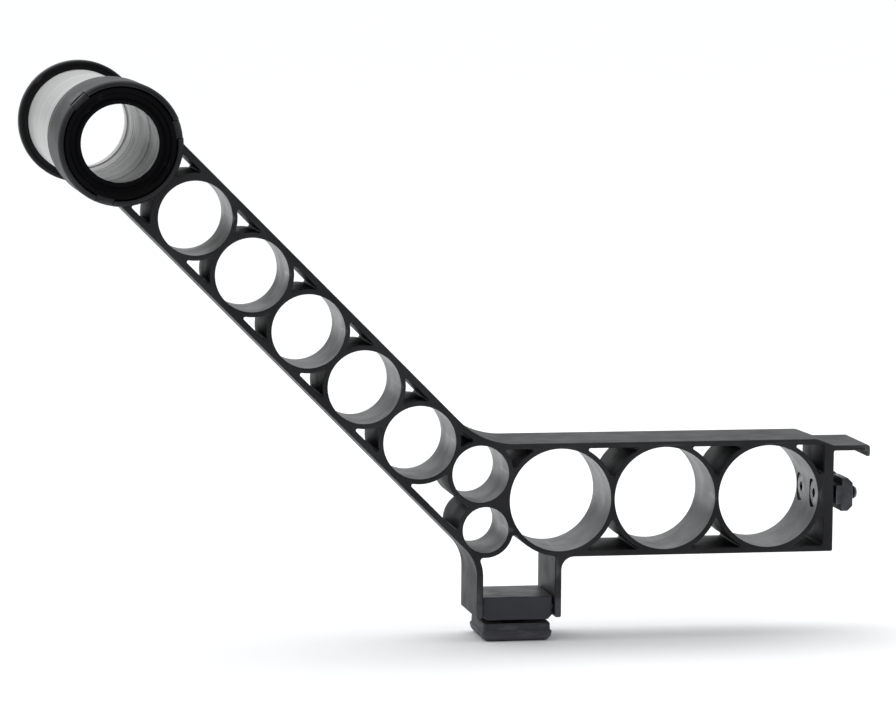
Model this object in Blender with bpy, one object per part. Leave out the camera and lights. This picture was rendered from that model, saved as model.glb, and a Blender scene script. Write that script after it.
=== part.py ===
"""Side-mounted spool holder stand: a moulded truss arm with a foot, and a roller that turns in its hub.

Frame: +Z up, origin on the ground under the middle of the post, at mid depth of the arm.
+X runs along the level part of the arm to the mounting plate, and +Y along the roller, away from the
arm's front. All the driving dimensions are in millimetres; MM turns them into metres.
"""

from math import asin, atan2, cos, degrees, hypot, radians, sin, sqrt, tan

import bmesh
import bpy
from mathutils import Matrix, Vector

MM = 0.001

# Arm section and walls
ARM_DEPTH = 23.0
RING_WALL = 1.4
RAIL = 1.8
LEVEL_RAIL = 1.6

# Level part: three equal ring cells
LEVEL_Z = 39.0
LEVEL_X = 11.3
LEVEL_HOLE = 14.1
LEVEL_PITCH = 29.3
LEVEL_CELLS = 3
LEVEL_HALF = LEVEL_HOLE + LEVEL_RAIL

# Inclined part: five equal ring cells, then the hub
SLOPE = 135.0
SLOPE_START = (-27.9, 55.4)
SLOPE_HOLE = 10.0
SLOPE_PITCH = 21.7
SLOPE_CELLS = 5
SLOPE_HALF = SLOPE_HOLE + RAIL
HUB_STEP = 28.2
HUB_WEB = 0.8
ELBOW_RADIUS = 22.0

# Small rings in the elbow
UPPER_RING = (-11.0, 46.5)
UPPER_HOLE = 7.8
LOWER_RING = (-9.5, 31.1)
LOWER_HOLE = 6.3

# Post and foot
POST_HALF = 11.8
LEG_BOTTOM = 6.6
LEG_BEND = 11.0
LEG_FILLET = 3.5
BLOCK_DEPTH = 19.0
BLOCK_TOP = 12.2
BLOCK_BOTTOM = 5.8
PAD_HALF = 9.8
PAD_TOP = 4.9
RIB_DEPTH = 0.9
RIB_Z = 9.3
STEM_RADIUS = 3.0
STEM_REACH = 4.0

# Mounting plate, its hooked lip and its screws
PLATE_FACE = LEVEL_X + LEVEL_PITCH * (LEVEL_CELLS - 1) + 18.5
PLATE_THICK = 2.8
BOSS_HALF = 6.0
SEAT_TOP = 33.0
LIP_DROP = 1.9
LIP_REACH = 10.3
LIP_THICK = 1.5
TIP_THICK = 1.2
TIP_DROP = 3.2
SCREW_Y = 6.5
SCREW_RADIUS = 1.85
SCREW_HEAD = 3.7
SCREW_HEAD_HEIGHT = 2.1
SCREW_LENGTH = 12.0
SOCKET_HEX = 2.5
NUT_LENGTH = 9.4
NUT_NECK = 1.6
NUT_NECK_HALF = 2.6
NUT_BODY = 3.2
NUT_HALF = 4.6
NUT_CHAMFER = 1.4

# Hub, in distances back from its front face
HUB_PROUD = 1.0
HUB_RADIUS = 16.8
HUB_BORE = 15.3
HUB_LENGTH = 24.0
HUB_LIP_RADIUS = 14.3
HUB_LIP = 2.0
HUB_ROUND = 1.2
HUB_EMBED = 0.5
LUG_ANGLES = (14.0, 134.0, 254.0)
LUG_WIDTH = 5.0
LUG_DEPTH = 1.9
LOCK_BORE = 10.5
LOCK_RIM = 13.2
LOCK_RECESS = 1.5
LOCK_FRONT = 0.5
LOCK_BACK = 4.0

# Roller
JOURNAL_RADIUS = 13.7
JOURNAL_BORE = 11.8
TUBE_RADIUS = 14.9
TUBE_BORE = 13.3
TUBE_LENGTH = 81.0
SPIGOT_RADIUS = 14.2
SPIGOT_LENGTH = 4.2
COLLAR_RADIUS = 16.5
COLLAR_LENGTH = 9.0
FLANGE_RADIUS = 17.6
FLANGE_LENGTH = 4.5
CLIP_FRONT = 5.3
CLIP_THICK = 1.2
CLIP_OPENING = 34.0
WASHER_THICK = 0.8
BUSH_LENGTH = 5.4

GAP = 0.3
TURN_STEPS = 48

FRONT_Y = -ARM_DEPTH / 2
BACK_Y = ARM_DEPTH / 2
HUB_FRONT_Y = FRONT_Y - HUB_PROUD


def along(start, angle, distance, side=0.0):
    """Point at a distance from start in a direction, and offset to its left by side."""
    a = radians(angle)
    x = start[0] + distance * cos(a) - side * sin(a)
    z = start[1] + distance * sin(a) + side * cos(a)
    return (x, z)


LEVEL_CENTRES = [(LEVEL_X + LEVEL_PITCH * i, LEVEL_Z) for i in range(LEVEL_CELLS)]
SLOPE_CENTRES = [along(SLOPE_START, SLOPE, SLOPE_PITCH * i) for i in range(SLOPE_CELLS)]
HUB = along(SLOPE_CENTRES[-1], SLOPE, HUB_STEP)


def clear_scene():
    for item in list(bpy.data.objects):
        bpy.data.objects.remove(item, do_unlink=True)


def material(name, colour, roughness, metallic=0.0):
    mat = bpy.data.materials.new(name)
    mat.use_nodes = True
    shader = mat.node_tree.nodes["Principled BSDF"]
    shader.inputs["Base Color"].default_value = (*colour, 1.0)
    shader.inputs["Roughness"].default_value = roughness
    shader.inputs["Metallic"].default_value = metallic
    return mat


def finish_mesh(name, bm, mat, smooth_angle=None):
    """Turn a bmesh in millimetres into a named object in metres, with its faces pointing out."""
    bmesh.ops.remove_doubles(bm, verts=bm.verts, dist=1e-4)
    bmesh.ops.recalc_face_normals(bm, faces=bm.faces)
    bmesh.ops.scale(bm, vec=Vector((MM, MM, MM)), verts=bm.verts)
    mesh = bpy.data.meshes.new(name)
    bm.to_mesh(mesh)
    bm.free()
    if smooth_angle is not None:
        mesh.shade_smooth()
        mesh.set_sharp_from_angle(angle=radians(smooth_angle))
    if mat is not None:
        mesh.materials.append(mat)
    item = bpy.data.objects.new(name, mesh)
    bpy.context.scene.collection.objects.link(item)
    return item


def boolean(target, cutter, operation):
    """Join or cut target with a helper object, which is then hidden from renders."""
    mod = target.modifiers.new(f"{operation.lower()}_{cutter.name}", "BOOLEAN")
    mod.operation = operation
    mod.solver = "EXACT"
    mod.object = cutter
    cutter.hide_render = True
    cutter.display_type = "WIRE"


def arc(centre, radius, start, end, steps):
    """Points on an arc from one angle to another, in degrees, both ends included."""
    angles = [start + (end - start) * i / steps for i in range(steps + 1)]
    return [along(centre, a, radius) for a in angles]


def circle(centre, radius, steps):
    return arc(centre, radius, 0.0, 360.0, steps)[:-1]


def meet(centre_a, radius_a, centre_b, radius_b, side):
    """Where two circles cross, to the left (side 1) or right (side -1) of the line from a to b."""
    gap = hypot(centre_b[0] - centre_a[0], centre_b[1] - centre_a[1])
    heading = degrees(atan2(centre_b[1] - centre_a[1], centre_b[0] - centre_a[0]))
    reach = (radius_a ** 2 - radius_b ** 2 + gap ** 2) / (2 * gap)
    height = sqrt(radius_a ** 2 - reach ** 2)
    return along(centre_a, heading, reach, side * height)


def angle_of(point, centre):
    return degrees(atan2(point[1] - centre[1], point[0] - centre[0]))


def arc_between(centre, radius, first, last, turn, steps):
    """Arc about centre from point first to point last, anticlockwise (turn 1) or clockwise (-1)."""
    start = angle_of(first, centre)
    sweep = (angle_of(last, centre) - start) * turn % 360.0
    return arc(centre, radius, start, start + turn * sweep, steps)


def cell_gap(centre_a, radius_a, centre_b, radius_b, rail, side, steps=6):
    """Three-sided opening between two ring walls and the rail on one side of them."""
    heading = angle_of(centre_b, centre_a)
    tip = meet(centre_a, radius_a, centre_b, radius_b, side)
    reach = hypot(centre_b[0] - centre_a[0], centre_b[1] - centre_a[1])
    first = along(centre_a, heading, sqrt(radius_a ** 2 - rail ** 2), side * rail)
    last = along(centre_a, heading, reach - sqrt(radius_b ** 2 - rail ** 2), side * rail)
    points = arc_between(centre_a, radius_a, first, tip, -side, steps)
    points += arc_between(centre_b, radius_b, tip, last, -side, steps)[1:]
    return points


def arm_outline():
    """Outer edge of the arm, anticlockwise from the foot of the mounting plate.

    The plate's face is one flat seat up to SEAT_TOP, below the slot nuts, and another above it.
    """
    top = LEVEL_Z + LEVEL_HALF
    bottom = LEVEL_Z - LEVEL_HALF
    lip_top = top - LIP_DROP
    tip_x = PLATE_FACE + LIP_REACH
    points = [
        (PLATE_FACE, bottom),
        (PLATE_FACE, SEAT_TOP),
        (PLATE_FACE, lip_top - LIP_THICK),
        (tip_x - TIP_THICK, lip_top - LIP_THICK),
        (tip_x - TIP_THICK, lip_top - TIP_DROP),
        (tip_x, lip_top - TIP_DROP),
        (tip_x, lip_top),
        (PLATE_FACE, lip_top),
        (PLATE_FACE - 5.0, top),
    ]

    # Inner bend of the elbow, from the level top rail to the inclined one
    upper_start = along(SLOPE_START, SLOPE, 0.0, -SLOPE_HALF)
    corner = (upper_start[0] + upper_start[1] - top, top)
    tangent = ELBOW_RADIUS * tan(radians(22.5))
    bend = (corner[0] + tangent, top + ELBOW_RADIUS)
    points += arc(bend, ELBOW_RADIUS, -90.0, -135.0, 8)

    # Round the hub, just inside the hub ring's wall
    wrap = HUB_RADIUS - HUB_EMBED
    half_angle = degrees(asin(SLOPE_HALF / wrap))
    points += arc(HUB, wrap, -45.0 + half_angle, 315.0 - half_angle, 40)

    # Down the outer rail, round the bend and down the left leg
    lower_start = along(SLOPE_START, SLOPE, 0.0, SLOPE_HALF)
    leg_corner_z = lower_start[0] + lower_start[1] + POST_HALF
    leg_bend = (-POST_HALF - LEG_BEND, leg_corner_z - LEG_BEND * tan(radians(22.5)))
    points += arc(leg_bend, LEG_BEND, 45.0, 0.0, 6)
    points += [(-POST_HALF, LEG_BOTTOM), (-POST_HALF + RAIL, LEG_BOTTOM)]

    # Underside of the two rings between the legs
    lower_wall = LOWER_HOLE + RING_WALL
    level_wall = LEVEL_HOLE + RING_WALL
    first_cell = LEVEL_CENTRES[0]
    inner_bend = LEG_BEND + RAIL
    leave = meet(leg_bend, inner_bend, LOWER_RING, lower_wall, -1)
    cross = meet(LOWER_RING, lower_wall, first_cell, level_wall, -1)
    land_x = POST_HALF - RAIL
    land = (land_x, LEVEL_Z - sqrt(level_wall ** 2 - (land_x - LEVEL_X) ** 2))
    points += arc(leg_bend, inner_bend, 0.0, angle_of(leave, leg_bend), 4)
    points += arc_between(LOWER_RING, lower_wall, leave, cross, 1, 8)[1:]
    points += arc_between(first_cell, level_wall, cross, land, 1, 8)[1:]

    # Right leg and its fillet to the level bottom rail
    points += [(land_x, LEG_BOTTOM), (POST_HALF, LEG_BOTTOM)]
    points += arc((POST_HALF + LEG_FILLET, bottom - LEG_FILLET), LEG_FILLET, 180.0, 90.0, 5)
    return points


def elbow_gaps():
    """Openings round the two small rings, under the bend of the top rail and beside the outer rail."""
    upper_wall = UPPER_HOLE + RING_WALL
    lower_wall = LOWER_HOLE + RING_WALL
    slope_wall = SLOPE_HOLE + RING_WALL
    level_wall = LEVEL_HOLE + RING_WALL
    first_slope = SLOPE_CENTRES[0]
    first_level = LEVEL_CENTRES[0]

    top = LEVEL_Z + LEVEL_HALF
    upper_start = along(SLOPE_START, SLOPE, 0.0, -SLOPE_HALF)
    corner_x = upper_start[0] + upper_start[1] - top
    bend = (corner_x + ELBOW_RADIUS * tan(radians(22.5)), top + ELBOW_RADIUS)
    bend_wall = ELBOW_RADIUS + RAIL

    # Between the first inclined cell, the upper small ring and the bend
    left = meet(first_slope, slope_wall, bend, bend_wall, -1)
    tip = meet(first_slope, slope_wall, UPPER_RING, upper_wall, 1)
    right = meet(UPPER_RING, upper_wall, bend, bend_wall, 1)
    behind_bend = arc_between(first_slope, slope_wall, left, tip, -1, 4)
    behind_bend += arc_between(UPPER_RING, upper_wall, tip, right, -1, 4)[1:]
    behind_bend += arc_between(bend, bend_wall, right, left, -1, 4)[1:-1]

    # Between the upper small ring, the first level cell and the top rail
    rail_z = top - LEVEL_RAIL
    level_rise = rail_z - LEVEL_Z
    right = (LEVEL_X - sqrt(level_wall ** 2 - level_rise ** 2), rail_z)
    tip = meet(UPPER_RING, upper_wall, first_level, level_wall, 1)
    left = (UPPER_RING[0] + sqrt(upper_wall ** 2 - (rail_z - UPPER_RING[1]) ** 2), rail_z)
    under_rail = arc_between(UPPER_RING, upper_wall, left, tip, -1, 4)
    under_rail += arc_between(first_level, level_wall, tip, right, -1, 4)[1:]

    # Between the first inclined cell, both small rings and the outer rail
    rail_start = along(SLOPE_START, SLOPE, 0.0, SLOPE_HOLE)
    rail_sum = rail_start[0] + rail_start[1]
    upper = meet(first_slope, slope_wall, UPPER_RING, upper_wall, -1)
    inner = meet(UPPER_RING, upper_wall, LOWER_RING, lower_wall, -1)
    ring_offset = (LOWER_RING[0] + LOWER_RING[1] - rail_sum) / sqrt(2.0)
    low = along(LOWER_RING, SLOPE, sqrt(lower_wall ** 2 - ring_offset ** 2), ring_offset)
    high = along(first_slope, SLOPE, -sqrt(slope_wall ** 2 - SLOPE_HOLE ** 2), SLOPE_HOLE)
    beside_rail = arc_between(first_slope, slope_wall, high, upper, 1, 8)
    beside_rail += arc_between(UPPER_RING, upper_wall, upper, inner, 1, 8)[1:]
    beside_rail += arc_between(LOWER_RING, lower_wall, inner, low, 1, 6)[1:]
    return [behind_bend, under_rail, beside_rail]


def arm_holes():
    """Every opening through the arm's lattice, as closed loops."""
    holes = [circle(centre, LEVEL_HOLE, 40) for centre in LEVEL_CENTRES]
    holes += [circle(centre, SLOPE_HOLE, 36) for centre in SLOPE_CENTRES]
    holes += [circle(UPPER_RING, UPPER_HOLE, 28), circle(LOWER_RING, LOWER_HOLE, 24)]
    holes.append(circle(HUB, HUB_BORE + HUB_EMBED, 40))

    level_wall = LEVEL_HOLE + RING_WALL
    slope_wall = SLOPE_HOLE + RING_WALL
    wrap = HUB_RADIUS - HUB_EMBED
    for side in (1, -1):
        for first, second in zip(LEVEL_CENTRES, LEVEL_CENTRES[1:]):
            holes.append(cell_gap(first, level_wall, second, level_wall, LEVEL_HOLE, side))
        for first, second in zip(SLOPE_CENTRES, SLOPE_CENTRES[1:]):
            holes.append(cell_gap(first, slope_wall, second, slope_wall, SLOPE_HOLE, side))
        holes.append(cell_gap(SLOPE_CENTRES[-1], slope_wall + HUB_WEB, HUB, wrap, SLOPE_HOLE, side))

    # Corners between the last cell and the mounting plate, above and below the screws' boss
    centre = LEVEL_CENTRES[-1]
    plate_x = PLATE_FACE - PLATE_THICK
    boss_x = centre[0] + sqrt(level_wall ** 2 - BOSS_HALF ** 2)
    rail_x = centre[0] + sqrt(level_wall ** 2 - LEVEL_HOLE ** 2)
    for side in (1, -1):
        boss_z = LEVEL_Z + side * BOSS_HALF
        rail_z = LEVEL_Z + side * LEVEL_HOLE
        corner = arc_between(centre, level_wall, (boss_x, boss_z), (rail_x, rail_z), side, 6)
        holes.append(corner + [(plate_x, rail_z), (plate_x, boss_z)])
    return holes + elbow_gaps()


def flat_solid(name, outline, holes, low, high, mat, plane="XZ"):
    """Extrude an outline with holes: an XZ outline from Y low to Y high, an XY one from Z low to Z high."""
    bm = bmesh.new()
    for loop in [outline] + holes:
        if plane == "XZ":
            verts = [bm.verts.new((a, low, b)) for a, b in loop]
        else:
            verts = [bm.verts.new((a, b, low)) for a, b in loop]
        for i, vert in enumerate(verts):
            bm.edges.new((vert, verts[(i + 1) % len(verts)]))
    bmesh.ops.triangle_fill(bm, use_beauty=True, use_dissolve=False, edges=bm.edges)
    grown = bmesh.ops.extrude_face_region(bm, geom=bm.faces[:])
    moved = [v for v in grown["geom"] if isinstance(v, bmesh.types.BMVert)]
    shift = (0, high - low, 0) if plane == "XZ" else (0, 0, high - low)
    bmesh.ops.translate(bm, vec=shift, verts=moved)
    return finish_mesh(name, bm, mat)


def turned(name, profile, mat, axis="Y", origin=(0.0, 0.0, 0.0), steps=TURN_STEPS, sweep=360.0, start=0.0):
    """Turn a profile of (radius, distance) points about an axis through origin.

    A profile that keeps off the axis is closed into a ring; one that starts and ends on it is a solid.
    """
    bm = bmesh.new()
    verts = [bm.verts.new((radius, distance, 0.0)) for radius, distance in profile]
    edges = [bm.edges.new(pair) for pair in zip(verts, verts[1:])]
    on_axis = profile[0][0] == 0.0 and profile[-1][0] == 0.0
    if not on_axis:
        edges.append(bm.edges.new((verts[-1], verts[0])))
    whole = sweep == 360.0
    geom = verts + edges
    if not whole:
        geom.append(bm.faces.new(verts))
    bmesh.ops.rotate(bm, verts=bm.verts, cent=(0, 0, 0), matrix=Matrix.Rotation(radians(start), 3, "Y"))
    bmesh.ops.spin(bm, geom=geom, cent=(0, 0, 0), axis=(0, 1, 0), angle=radians(sweep), steps=steps,
                   use_merge=whole)
    if axis == "X":
        bmesh.ops.rotate(bm, verts=bm.verts, cent=(0, 0, 0), matrix=Matrix.Rotation(radians(-90), 3, "Z"))
    bmesh.ops.translate(bm, vec=origin, verts=bm.verts)
    return finish_mesh(name, bm, mat, smooth_angle=35.0)


def block(name, low, high, mat=None, chamfer=0.0):
    """Box between two corners, with its edges chamfered."""
    bm = bmesh.new()
    bmesh.ops.create_cube(bm, size=1.0)
    size = [b - a for a, b in zip(low, high)]
    middle = [(a + b) / 2 for a, b in zip(low, high)]
    bmesh.ops.scale(bm, vec=size, verts=bm.verts)
    bmesh.ops.translate(bm, vec=middle, verts=bm.verts)
    if chamfer:
        bmesh.ops.bevel(bm, geom=bm.edges[:], offset=chamfer, segments=1, affect="EDGES")
    return finish_mesh(name, bm, mat)


def hub_point(distance=0.0):
    """Point on the hub's axis, at a distance back from the hub's front face."""
    return (HUB[0], HUB_FRONT_Y + distance, HUB[1])


def add_hub_ring(arm):
    """Wall of the hub: a lip at the back for the bushes, and slots in the rim for the lock ring's lugs."""
    lip_front = HUB_LENGTH - HUB_LIP
    round_centre = HUB_RADIUS - HUB_ROUND
    corner = [(round_centre + HUB_ROUND * sin(radians(a)), HUB_ROUND - HUB_ROUND * cos(radians(a)))
              for a in (0, 30, 60, 90)]
    profile = [
        *corner,
        (HUB_RADIUS, HUB_LENGTH),
        (HUB_LIP_RADIUS, HUB_LENGTH),
        (HUB_LIP_RADIUS, lip_front),
        (HUB_BORE, lip_front),
        (HUB_BORE, 0.0),
    ]
    boolean(arm, turned("hub_ring", profile, None, origin=hub_point()), "UNION")
    for i, angle in enumerate(LUG_ANGLES):
        half = LUG_WIDTH / 2 + GAP
        slot = block(f"lug_slot_{i}", (12.0, -1.0, -half), (20.0, LOCK_FRONT + LUG_DEPTH + GAP, half))
        slot.rotation_euler = (0.0, -radians(angle), 0.0)
        slot.location = Vector(hub_point()) * MM
        boolean(arm, slot, "DIFFERENCE")


def make_arm(mat):
    arm = flat_solid("spool_arm", arm_outline(), arm_holes(), FRONT_Y, BACK_Y, mat)

    head_x = head_face_x()
    for i, y in enumerate((-SCREW_Y, SCREW_Y)):
        hole = [
            (0.0, -3.0),
            (SCREW_HEAD + GAP, -3.0),
            (SCREW_HEAD + GAP, 0.3),
            (SCREW_RADIUS + 2 * GAP, SCREW_HEAD_HEIGHT + 0.4),
            (SCREW_RADIUS + 2 * GAP, 8.0),
            (0.0, 8.0),
        ]
        cutter = turned(f"screw_hole_{i}", hole, None, axis="X", origin=(head_x, y, LEVEL_Z), steps=24)
        boolean(arm, cutter, "DIFFERENCE")

    groove_half = 1.0 + GAP
    near = POST_HALF - RAIL - 1.0
    far = POST_HALF - RAIL + RIB_DEPTH
    for side in (1, -1):
        low = (min(side * near, side * far), -BLOCK_DEPTH / 2 - GAP, RIB_Z - groove_half)
        high = (max(side * near, side * far), BLOCK_DEPTH / 2 + GAP, RIB_Z + groove_half)
        boolean(arm, block(f"leg_groove_{side + 1}", low, high), "DIFFERENCE")

    add_hub_ring(arm)
    return arm


def head_face_x():
    """Where the screw heads' faces lie: just under the wall of the last level cell."""
    return LEVEL_CENTRES[-1][0] + LEVEL_HOLE + 0.1


def upright(item, height):
    """Stand a piece turned about Y on end, its start at a height over the origin."""
    item.rotation_euler = (radians(90), 0.0, 0.0)
    item.location = (0.0, 0.0, height * MM)
    return item


def make_foot(plastic, rubber):
    half = POST_HALF - RAIL - GAP
    rib = half + RIB_DEPTH - GAP
    right_side = [
        (half - 1.0, BLOCK_BOTTOM),
        (half, BLOCK_BOTTOM + 1.0),
        (half, RIB_Z - 1.0),
        (rib, RIB_Z - 0.5),
        (rib, RIB_Z + 0.5),
        (half, RIB_Z + 1.0),
        (half, BLOCK_TOP - 0.4),
        (half - 0.4, BLOCK_TOP),
    ]
    outline = right_side + [(-x, z) for x, z in reversed(right_side)]
    foot = flat_solid("foot_block", outline, [], -BLOCK_DEPTH / 2, BLOCK_DEPTH / 2, plastic)
    hole_radius = STEM_RADIUS + GAP
    hole = [(0.0, -1.0), (hole_radius, -1.0), (hole_radius, STEM_REACH + GAP), (0.0, STEM_REACH + GAP)]
    boolean(foot, upright(turned("stem_hole", hole, None, steps=24), BLOCK_BOTTOM), "DIFFERENCE")

    pad_y = BLOCK_DEPTH / 2
    pad = block("foot_pad", (-PAD_HALF, -pad_y, 0.0), (PAD_HALF, pad_y, PAD_TOP), rubber, chamfer=0.9)
    stem_top = BLOCK_BOTTOM + STEM_REACH - PAD_TOP
    stem = [(0.0, -2.0), (STEM_RADIUS, -2.0), (STEM_RADIUS, stem_top), (0.0, stem_top)]
    boolean(pad, upright(turned("pad_stem", stem, None, steps=24), PAD_TOP), "UNION")


def make_mounting(steel):
    for label, y in (("front", -SCREW_Y), ("rear", SCREW_Y)):
        head = (head_face_x(), y, LEVEL_Z)
        profile = [
            (0.0, 0.0),
            (SCREW_HEAD, 0.0),
            (SCREW_HEAD, 0.35),
            (SCREW_RADIUS, SCREW_HEAD_HEIGHT),
            (SCREW_RADIUS, SCREW_LENGTH - 0.5),
            (SCREW_RADIUS - 0.5, SCREW_LENGTH),
            (0.0, SCREW_LENGTH),
        ]
        screw = turned(f"mount_screw_{label}", profile, steel, axis="X", origin=head, steps=24)
        hex_radius = SOCKET_HEX / sqrt(3.0)
        socket = [(0.0, -1.0), (hex_radius, -1.0), (hex_radius, 1.6), (0.0, 1.6)]
        cutter = turned(f"socket_{label}", socket, None, axis="X", origin=head, steps=6)
        boolean(screw, cutter, "DIFFERENCE")

        neck = PLATE_FACE + 0.8
        body = neck + NUT_NECK
        back = body + NUT_BODY
        lower = [
            (back, -NUT_HALF + NUT_CHAMFER),
            (back - NUT_CHAMFER, -NUT_HALF),
            (body, -NUT_HALF),
            (body, -NUT_NECK_HALF),
            (neck, -NUT_NECK_HALF),
        ]
        outline = [(x, LEVEL_Z + z) for x, z in lower + [(x, -z) for x, z in reversed(lower)]]
        reach = NUT_LENGTH / 2
        nut = flat_solid(f"slot_nut_{label}", outline, [], y - reach, y + reach, steel)
        thread = [(0.0, -1.0), (SCREW_RADIUS + GAP, -1.0), (SCREW_RADIUS + GAP, 8.0), (0.0, 8.0)]
        boolean(nut, turned(f"thread_{label}", thread, None, axis="X", origin=(neck, y, LEVEL_Z), steps=24),
                "DIFFERENCE")


def make_lock_ring(mat):
    profile = [
        (LOCK_BORE, LOCK_FRONT + LOCK_RECESS + 0.4),
        (LOCK_BORE + 0.4, LOCK_FRONT + LOCK_RECESS),
        (LOCK_RIM, LOCK_FRONT + LOCK_RECESS),
        (LOCK_RIM + 0.5, LOCK_FRONT),
        (HUB_BORE - GAP, LOCK_FRONT),
        (HUB_BORE - GAP, LOCK_BACK),
        (LOCK_BORE, LOCK_BACK),
    ]
    ring = turned("lock_ring", profile, mat, origin=hub_point())
    for i, angle in enumerate(LUG_ANGLES):
        half = LUG_WIDTH / 2
        lug = block(f"lug_{i}", (14.2, LOCK_FRONT, -half), (HUB_RADIUS - 0.4, LOCK_FRONT + LUG_DEPTH, half))
        lug.rotation_euler = (0.0, -radians(angle), 0.0)
        lug.location = Vector(hub_point()) * MM
        boolean(ring, lug, "UNION")


def make_bearing(bush_mat, washer_mat):
    washer_front = CLIP_FRONT + CLIP_THICK + GAP
    inner = JOURNAL_RADIUS + GAP
    outer = HUB_BORE - GAP
    front_start = washer_front + WASHER_THICK + GAP
    rear_start = HUB_LENGTH - HUB_LIP - GAP - BUSH_LENGTH
    pieces = (
        ("thrust_washer", washer_front, WASHER_THICK, washer_mat),
        ("front_bush", front_start, BUSH_LENGTH, bush_mat),
        ("rear_bush", rear_start, BUSH_LENGTH, bush_mat),
    )
    for name, start, length, mat in pieces:
        profile = [(inner, start), (outer, start), (outer, start + length), (inner, start + length)]
        turned(name, profile, mat, origin=hub_point())


def make_roller(spin, tube_mat, dark_mat, steel):
    """Everything that turns: its pieces hang from an empty on the roller's axis."""
    journal_front = LOCK_BACK + GAP
    shoulder = HUB_LENGTH + GAP
    tube_end = shoulder + TUBE_LENGTH
    spigot_end = tube_end + SPIGOT_LENGTH
    groove_front = CLIP_FRONT - GAP
    groove_back = CLIP_FRONT + CLIP_THICK + GAP
    groove_radius = JOURNAL_RADIUS - 0.8
    rib = tube_end - 6.0
    profile = [
        (JOURNAL_BORE, journal_front),
        (JOURNAL_RADIUS, journal_front),
        (JOURNAL_RADIUS, groove_front),
        (groove_radius, groove_front),
        (groove_radius, groove_back),
        (JOURNAL_RADIUS, groove_back),
        (JOURNAL_RADIUS, shoulder),
        (TUBE_RADIUS, shoulder),
        (TUBE_RADIUS, tube_end),
        (SPIGOT_RADIUS, tube_end),
        (SPIGOT_RADIUS, spigot_end),
        (TUBE_BORE, spigot_end),
        (TUBE_BORE, rib + 1.2),
        (TUBE_BORE - 0.4, rib + 0.8),
        (TUBE_BORE - 0.4, rib),
        (TUBE_BORE, rib - 0.4),
        (TUBE_BORE, shoulder + 4.0),
        (JOURNAL_BORE, shoulder + 1.0),
    ]
    pieces = [turned("roller_tube", profile, tube_mat)]

    inner = TUBE_RADIUS + GAP
    collar_end = shoulder + COLLAR_LENGTH
    profile = [
        (inner, shoulder), (COLLAR_RADIUS - 0.4, shoulder), (COLLAR_RADIUS, shoulder + 0.4),
        (COLLAR_RADIUS, collar_end - 0.6), (COLLAR_RADIUS - 0.6, collar_end), (inner, collar_end),
    ]
    pieces.append(turned("near_collar", profile, dark_mat))

    inner = SPIGOT_RADIUS + GAP
    flange_start = tube_end + GAP
    flange_end = flange_start + FLANGE_LENGTH
    profile = [
        (inner, flange_start), (FLANGE_RADIUS - 0.8, flange_start), (FLANGE_RADIUS, flange_start + 0.8),
        (FLANGE_RADIUS, flange_end - 0.8), (FLANGE_RADIUS - 0.8, flange_end), (inner, flange_end),
    ]
    pieces.append(turned("far_flange", profile, dark_mat))

    inner = groove_radius + GAP
    outer = HUB_BORE - 2 * GAP
    back = CLIP_FRONT + CLIP_THICK
    profile = [(inner, CLIP_FRONT), (outer, CLIP_FRONT), (outer, back), (inner, back)]
    pieces.append(turned("retaining_clip", profile, steel, steps=40, sweep=360.0 - CLIP_OPENING, start=90.0))

    for piece in pieces:
        piece.parent = spin


def main():
    clear_scene()
    black = material("arm_black", (0.018, 0.018, 0.020), 0.42)
    foot_dark = material("foot_plastic", (0.035, 0.035, 0.042), 0.5)
    rubber = material("foot_rubber", (0.03, 0.03, 0.034), 0.8)
    light = material("tube_grey", (0.72, 0.72, 0.70), 0.4)
    dark = material("cap_black", (0.02, 0.02, 0.022), 0.4)
    natural = material("bush_natural", (0.80, 0.78, 0.70), 0.4)
    slip = material("washer_white", (0.85, 0.85, 0.83), 0.35)
    steel = material("fastener_steel", (0.05, 0.05, 0.055), 0.35, metallic=1.0)

    make_arm(black)
    make_foot(foot_dark, rubber)
    make_mounting(steel)
    make_lock_ring(dark)
    make_bearing(natural, slip)

    spin = bpy.data.objects.new("roller_spin", None)
    spin.location = Vector(hub_point()) * MM
    bpy.context.scene.collection.objects.link(spin)
    make_roller(spin, light, dark, steel)


main()
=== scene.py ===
"""Looks of the side-mounted spool holder stand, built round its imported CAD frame.

Every CAD node is replaced by a refined piece: the moulded arm with rounded edges and filleted
cells, the turned hub and roller parts, the foot, and the fasteners. Sizes are in millimetres, MM
turns them into metres, and the places come from the frame's nodes. Pieces share the frame's
origin, so their object coordinates are the frame's own.
"""

from itertools import product
from math import asin, atan2, ceil, cos, degrees, hypot, radians, sin, sqrt, tan

import bmesh
import bpy
from mathutils import Matrix, Quaternion, Vector


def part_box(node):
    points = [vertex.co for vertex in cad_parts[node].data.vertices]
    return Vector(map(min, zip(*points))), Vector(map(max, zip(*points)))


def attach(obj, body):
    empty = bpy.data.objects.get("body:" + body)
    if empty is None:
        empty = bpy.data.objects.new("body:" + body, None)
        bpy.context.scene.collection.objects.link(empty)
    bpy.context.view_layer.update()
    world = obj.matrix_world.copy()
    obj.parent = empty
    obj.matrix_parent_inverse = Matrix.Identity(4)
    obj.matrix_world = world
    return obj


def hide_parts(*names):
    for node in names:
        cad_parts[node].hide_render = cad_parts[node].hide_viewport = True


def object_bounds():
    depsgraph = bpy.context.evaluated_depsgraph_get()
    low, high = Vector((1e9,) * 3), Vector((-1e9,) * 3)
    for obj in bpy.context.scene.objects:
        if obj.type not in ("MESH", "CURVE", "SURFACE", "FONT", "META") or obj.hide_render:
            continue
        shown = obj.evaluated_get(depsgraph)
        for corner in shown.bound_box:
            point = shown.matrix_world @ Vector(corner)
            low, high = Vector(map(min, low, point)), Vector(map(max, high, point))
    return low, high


MM = 0.001

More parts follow.
